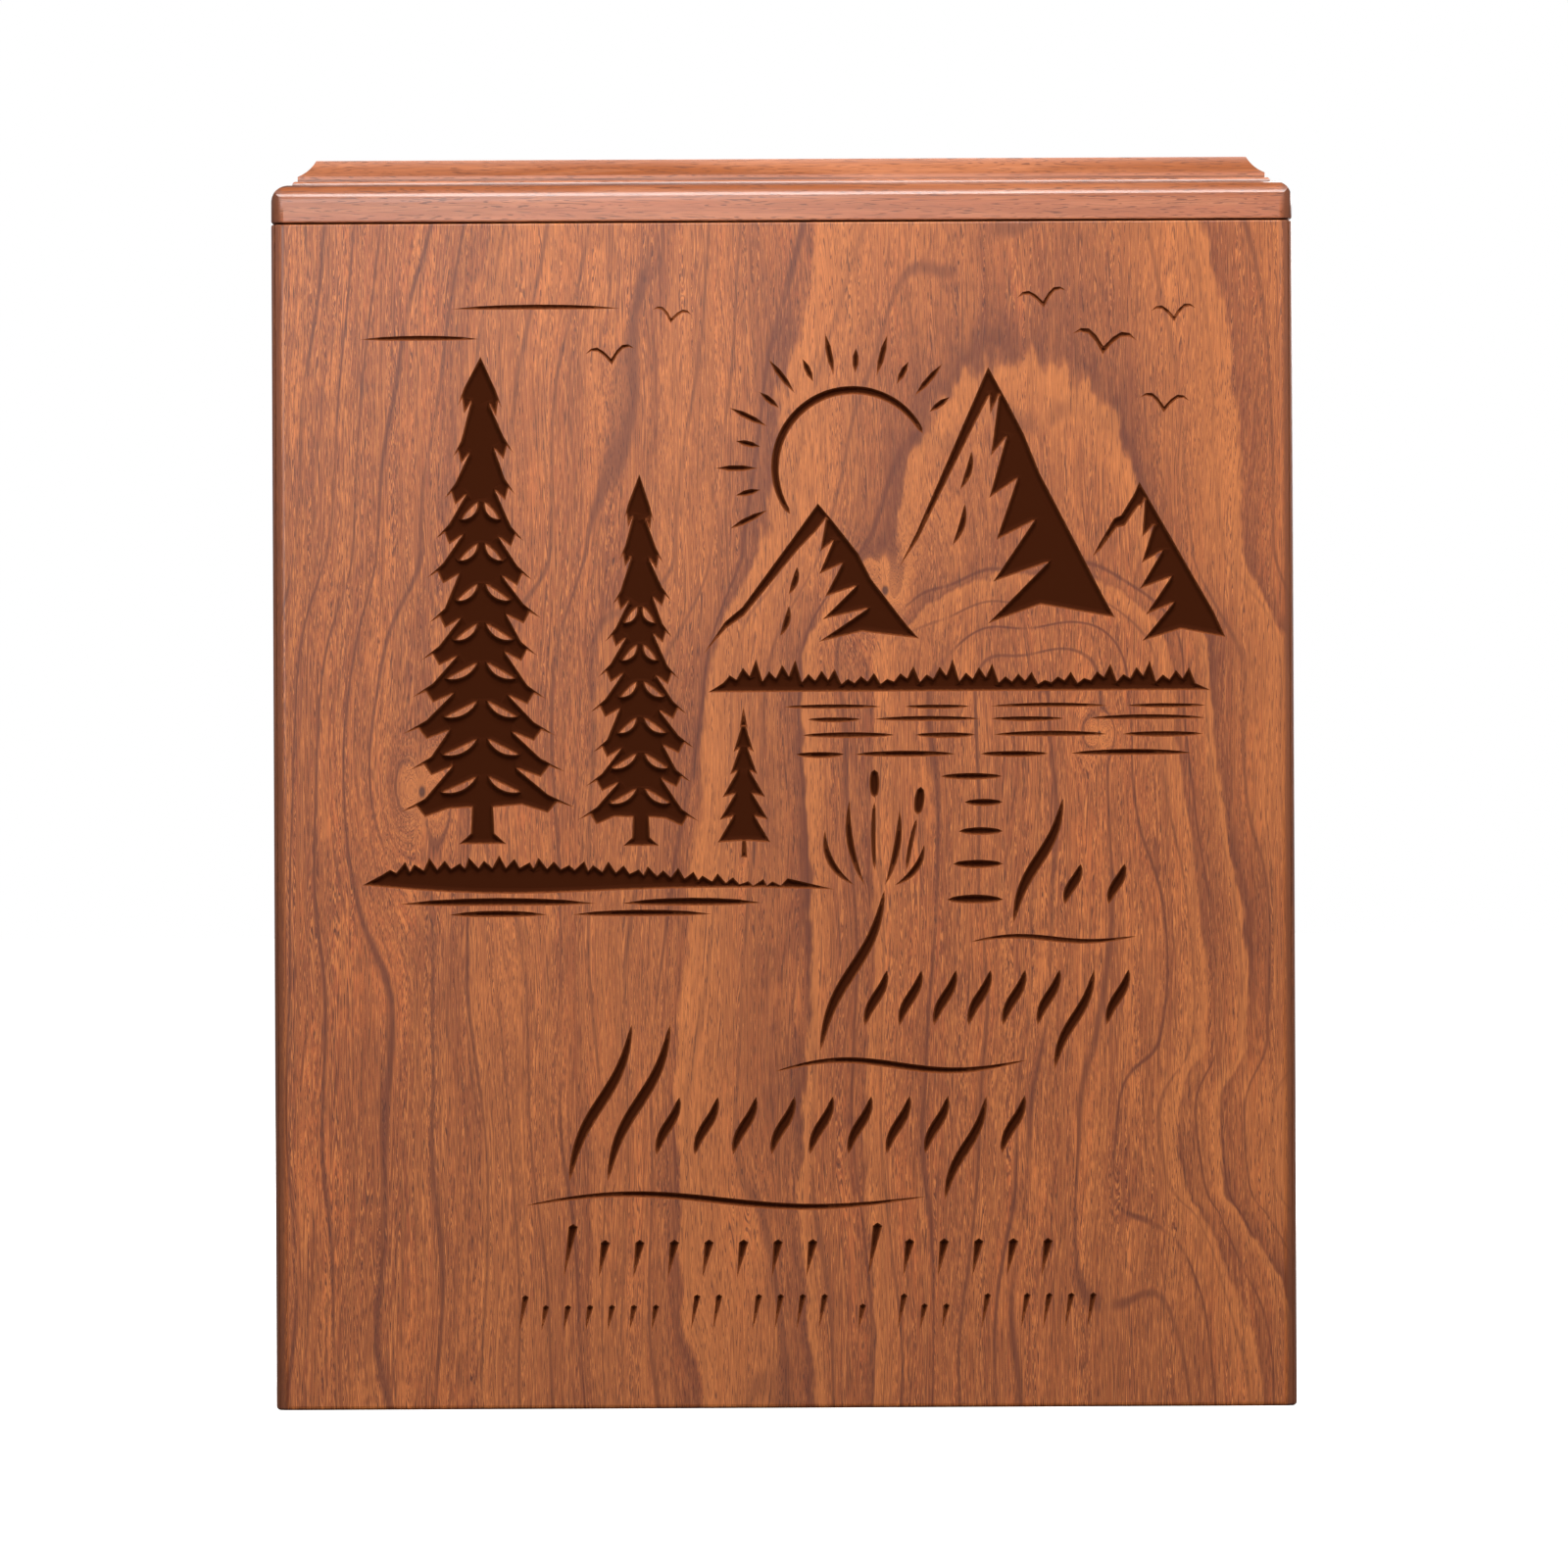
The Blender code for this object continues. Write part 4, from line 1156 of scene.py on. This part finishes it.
def lid_wood(sizes, colours):
    """Solid rosewood, moulded on the edge and sprayed with satin lacquer.

    It gives the eye a paler and glossier wood than the boards, with warm brown in the moulding's hollow,
    where the cutter opened it. The darker upper ovolo and the dark lines at the bead's foot and in the quirk
    are painted shade, the paler bead and fillet are a painted highlight, and the rounded corners carry
    painted shade.
    """
    radius = sizes.corner_radius * MM
    foot = (sizes.body_height + sizes.joint_gap) * MM
    shelf = foot + (sizes.face_band + sizes.ovolo) * MM
    fillet = shelf + sizes.bead * MM
    cove = fillet + sizes.fillet * MM
    top = cove + sizes.cove_rise * MM
    # Tones up the moulding: brown in the cove where the cutter opened the wood; the darkening up the ovolo
    # and the dark lines at the bead's foot and in the quirk are painted shade, and the paler bead and fillet
    # are a painted highlight
    cuts = ((foot, "lid", 0.0), (shelf - 3.6, "lid", 0.0), (shelf - 2.8, "cut", 0.6),
            (shelf - 1.2, "cut", 0.9), (shelf - 0.4, "cut", 1.0), (shelf - 0.3, "pore", 0.85),
            (shelf + 0.35, "pore", 0.85), (shelf + 0.45, "lid", 0.9), (fillet - 0.1, "lid_pale", 0.5),
            (fillet, "pore", 0.8), (fillet + 0.4, "pore", 0.7), (fillet + 0.5, "lid_pale", 0.5),
            (cove - 0.1, "lid", 0.5), (cove + 0.2, "cut", 1.0), (top - 1.4, "cut", 1.0),
            (top - 0.06, "lid_band", 1.0), (top - 0.02, "lid", 0.0))
    return wood("satin_rosewood_lid", "YXZ", colours, "lid", SOLID_LAYERS, 47.0, solid=True, cuts=cuts,
                # Painted shade on the rounded corners
                coat=0.7, edges=(("X", sizes.width * MM / 2, radius), ("Y", sizes.depth * MM / 2, radius)))


def charred_wood(sizes, colours):
    """Wood burnt by a laser, which gives the eye scorched brown at a cut's rim and matt dark brown below."""
    material, tree, shader = new_material("laser_charred_wood")
    face = sizes.depth / 2 * MM
    scorched, burnt_through = 0.05, 0.75
    fleck, fleck_reach = (0.7, 0.7), 0.12
    place = object_millimetres(tree)
    split = add(tree, "SeparateXYZ", {0: place})
    depth = add(tree, "Math", {0: split.outputs["Y"], 1: face}, operation="ADD")
    uneven = streaks(tree, place, fleck, 4.0, (0.2, 0.8), (-fleck_reach, fleck_reach), detail=3.0)
    burnt = add(tree, "Math", {0: depth, 1: uneven}, operation="ADD")
    share = add(tree, "MapRange", {"Value": burnt, "From Min": scorched, "From Max": burnt_through},
                interpolation_type="SMOOTHSTEP")
    colour = lay_over(tree, linear(colours.scorch), linear(colours.char), share)
    tree.links.new(colour, shader.inputs["Base Color"])
    shader.inputs["Roughness"].default_value = 0.85
    shader.inputs["Specular IOR Level"].default_value = 0.03
    return material


def white_floor(colours):
    """Matt white paint, which gives the eye a floor without an edge; the box takes less light from it."""
    material, tree, shader = new_material("matt_white_floor")
    brightening = 0.85
    seen = add(tree, "LightPath").outputs["Is Camera Ray"]
    tone = lay_over(tree, linear(colours.floor_bounce), linear(colours.floor), seen)
    lift = add(tree, "Math", {0: seen, 1: brightening}, operation="MULTIPLY")
    tree.links.new(tone, shader.inputs["Base Color"])
    tree.links.new(lift.outputs[0], shader.inputs["Emission Strength"])
    shader.inputs["Emission Color"].default_value = (1.0, 1.0, 1.0, 1.0)
    shader.inputs["Roughness"].default_value = 0.9
    return material


class URN_OT_front_board(bpy.types.Operator):
    """Make the engraved front board"""

    bl_idname = "urn.front_board"
    bl_label = "Front Board"

    def execute(self, context):
        sizes, colours = context.scene.urn_sizes, context.scene.urn_colours
        board = make_board(sizes, "engraved_front", sizes.width, sizes.depth / 2, 0.0)
        finishes = front_veneer(sizes, colours), charred_wood(sizes, colours)
        hand_in(board, "front_board", "front_veneer", *finishes)
        engrave(sizes, board)
        shade(board)
        return {"FINISHED"}


class URN_OT_walls(bpy.types.Operator):
    """Make the left, right and back boards"""

    bl_idname = "urn.walls"
    bl_label = "Walls"

    def execute(self, context):
        sizes, colours = context.scene.urn_sizes, context.scene.urn_colours
        walls = (("right", "YZX", sizes.depth, sizes.width), ("back", "XZY", sizes.width, sizes.depth),
                 ("left", "YZX", sizes.depth, sizes.width))
        for number, (side, axes, length, apart) in enumerate(walls):
            board = make_board(sizes, f"{side}_wall", length, apart / 2, 90.0 * (number + 1))
            veneer = wall_veneer(sizes, colours, side, axes, length, number)
            hand_in(board, f"{side}_board", "side_veneer", veneer)
            shade(board)
        return {"FINISHED"}


class URN_OT_bottom(bpy.types.Operator):
    """Make the bottom board"""

    bl_idname = "urn.bottom"
    bl_label = "Bottom Board"

    def execute(self, context):
        sizes, colours = context.scene.urn_sizes, context.scene.urn_colours
        size = BOTTOM_HIGH - BOTTOM_LOW
        board = settle(block("bottom_panel", size, (BOTTOM_LOW + BOTTOM_HIGH) / 2))
        ease_edges(board, sizes.base_ease / 2, lambda edge: all(v.co.z < TINY for v in edge.verts))
        hand_in(board, "bottom_board", "bottom_hardwood", bottom_wood(colours))
        shade(board)
        return {"FINISHED"}


class URN_OT_lid(bpy.types.Operator):
    """Make the moulded lid"""

    bl_idname = "urn.lid"
    bl_label = "Lid"

    def execute(self, context):
        sizes, colours = context.scene.urn_sizes, context.scene.urn_colours
        lid = make_lid(sizes)
        hand_in(lid, "lid", "lid_rosewood", lid_wood(sizes, colours))
        shade(lid)
        return {"FINISHED"}


# Softboxes: name, place, target, size in metres, power in watts and beam in degrees
BOX_MIDDLE = (0.0, 0.0, (BOX_LOW.z + BOX_HIGH.z) / 2)
SOFTBOXES = (
    ("key_softbox", (0.06, -0.62, 0.84), (0.0, 0.0, 0.34), 0.5, 5.2, 120.0),
    ("front_softbox", (-0.40, -2.2, 0.70), BOX_MIDDLE, 0.9, 14.0, 180.0),
    ("back_softbox", (0.8, 1.7, 0.9), BOX_MIDDLE, 1.2, 30.0, 180.0),
    ("left_softbox", (-1.4, 0.2, 1.2), BOX_MIDDLE, 0.9, 11.0, 180.0),
    ("right_softbox", (1.4, 0.2, 1.2), BOX_MIDDLE, 0.9, 11.0, 180.0),
)
FLOOR_SIZE = (16.0, 16.0, 0.02)


def make_softbox(scene, name, place, target, size, power, beam):
    """A square area light aimed at a point, and hidden from the camera."""
    lamp = bpy.data.lights.new(name, "AREA")
    lamp.shape = "SQUARE"
    lamp.size = size
    lamp.energy = power
    lamp.spread = math.radians(beam)
    light = bpy.data.objects.new(name, lamp)
    light.location = place
    light.rotation_euler = (Vector(target) - Vector(place)).to_track_quat("-Z", "Y").to_euler()
    light.visible_camera = False
    scene.collection.objects.link(light)


def make_world(scene):
    """A world that looks white to the camera and lights the box softly from all round."""
    soft_light, seen_white = 0.22, 1.0
    world = bpy.data.worlds.new("pale_studio")
    scene.world = world
    world.use_nodes = True
    tree = world.node_tree
    seen = add(tree, "LightPath").outputs["Is Camera Ray"]
    strength = add(tree, "MapRange", {"Value": seen, "To Min": soft_light, "To Max": seen_white})
    background = tree.nodes["Background"].inputs
    tree.links.new(strength.outputs[0], background["Strength"])
    background["Color"].default_value = (1.0, 1.0, 1.0, 1.0)


def make_camera(scene, sizes, studio):
    """A level camera straight in front of the box."""
    data = bpy.data.cameras.new("camera")
    data.lens = data.sensor_width * studio.eye_distance / studio.frame_width
    data.clip_start, data.clip_end = 0.1, 60.0
    camera = bpy.data.objects.new("camera", data)
    camera.location = (0.0, -sizes.depth / 2 - studio.eye_distance, studio.eye_height)
    camera.rotation_euler = (math.radians(90.0), studio.roll, 0.0)
    scene.collection.objects.link(camera)
    scene.camera = camera


class URN_OT_stage(bpy.types.Operator):
    """Make the floor, the lights and the camera"""

    bl_idname = "urn.stage"
    bl_label = "Stage"

    def execute(self, context):
        scene = context.scene
        for values in SOFTBOXES:
            make_softbox(scene, *values)
        floor = block("studio_floor", FLOOR_SIZE, (0.0, 0.0, -FLOOR_SIZE[2] / 2))
        floor.data.materials.append(white_floor(scene.urn_colours))
        make_world(scene)
        make_camera(scene, scene.urn_sizes, scene.urn_studio)
        scene.view_settings.view_transform = "Standard"
        return {"FINISHED"}


class URN_PT_sidebar(bpy.types.Panel):
    """The urn's pieces, sizes and colours"""

    bl_idname = "URN_PT_sidebar"
    bl_label = "Engraved Wooden Urn"
    bl_space_type = "VIEW_3D"
    bl_region_type = "UI"
    bl_category = "Urn"

    def draw(self, context):
        for operator in OPERATORS:
            self.layout.operator(operator.bl_idname)
        for group in (context.scene.urn_sizes, context.scene.urn_colours, context.scene.urn_studio):
            column = self.layout.column(align=True)
            for name in group.bl_rna.properties.keys():
                if name not in ("rna_type", "name"):
                    column.prop(group, name)


OPERATORS = (URN_OT_stage, URN_OT_front_board, URN_OT_walls, URN_OT_bottom, URN_OT_lid)
CLASSES = (UrnSizes, UrnColours, UrnStudio) + OPERATORS + (URN_PT_sidebar,)


def register():
    for item in CLASSES:
        bpy.utils.register_class(item)
    bpy.types.Scene.urn_sizes = bpy.props.PointerProperty(type=UrnSizes)
    bpy.types.Scene.urn_colours = bpy.props.PointerProperty(type=UrnColours)
    bpy.types.Scene.urn_studio = bpy.props.PointerProperty(type=UrnStudio)


def unregister():
    del bpy.types.Scene.urn_sizes
    del bpy.types.Scene.urn_colours
    del bpy.types.Scene.urn_studio
    for item in reversed(CLASSES):
        bpy.utils.unregister_class(item)


def main():
    register()
    bpy.ops.urn.stage()
    bpy.ops.urn.front_board()
    bpy.ops.urn.walls()
    bpy.ops.urn.bottom()
    bpy.ops.urn.lid()


if __name__ == "__main__":
    main()
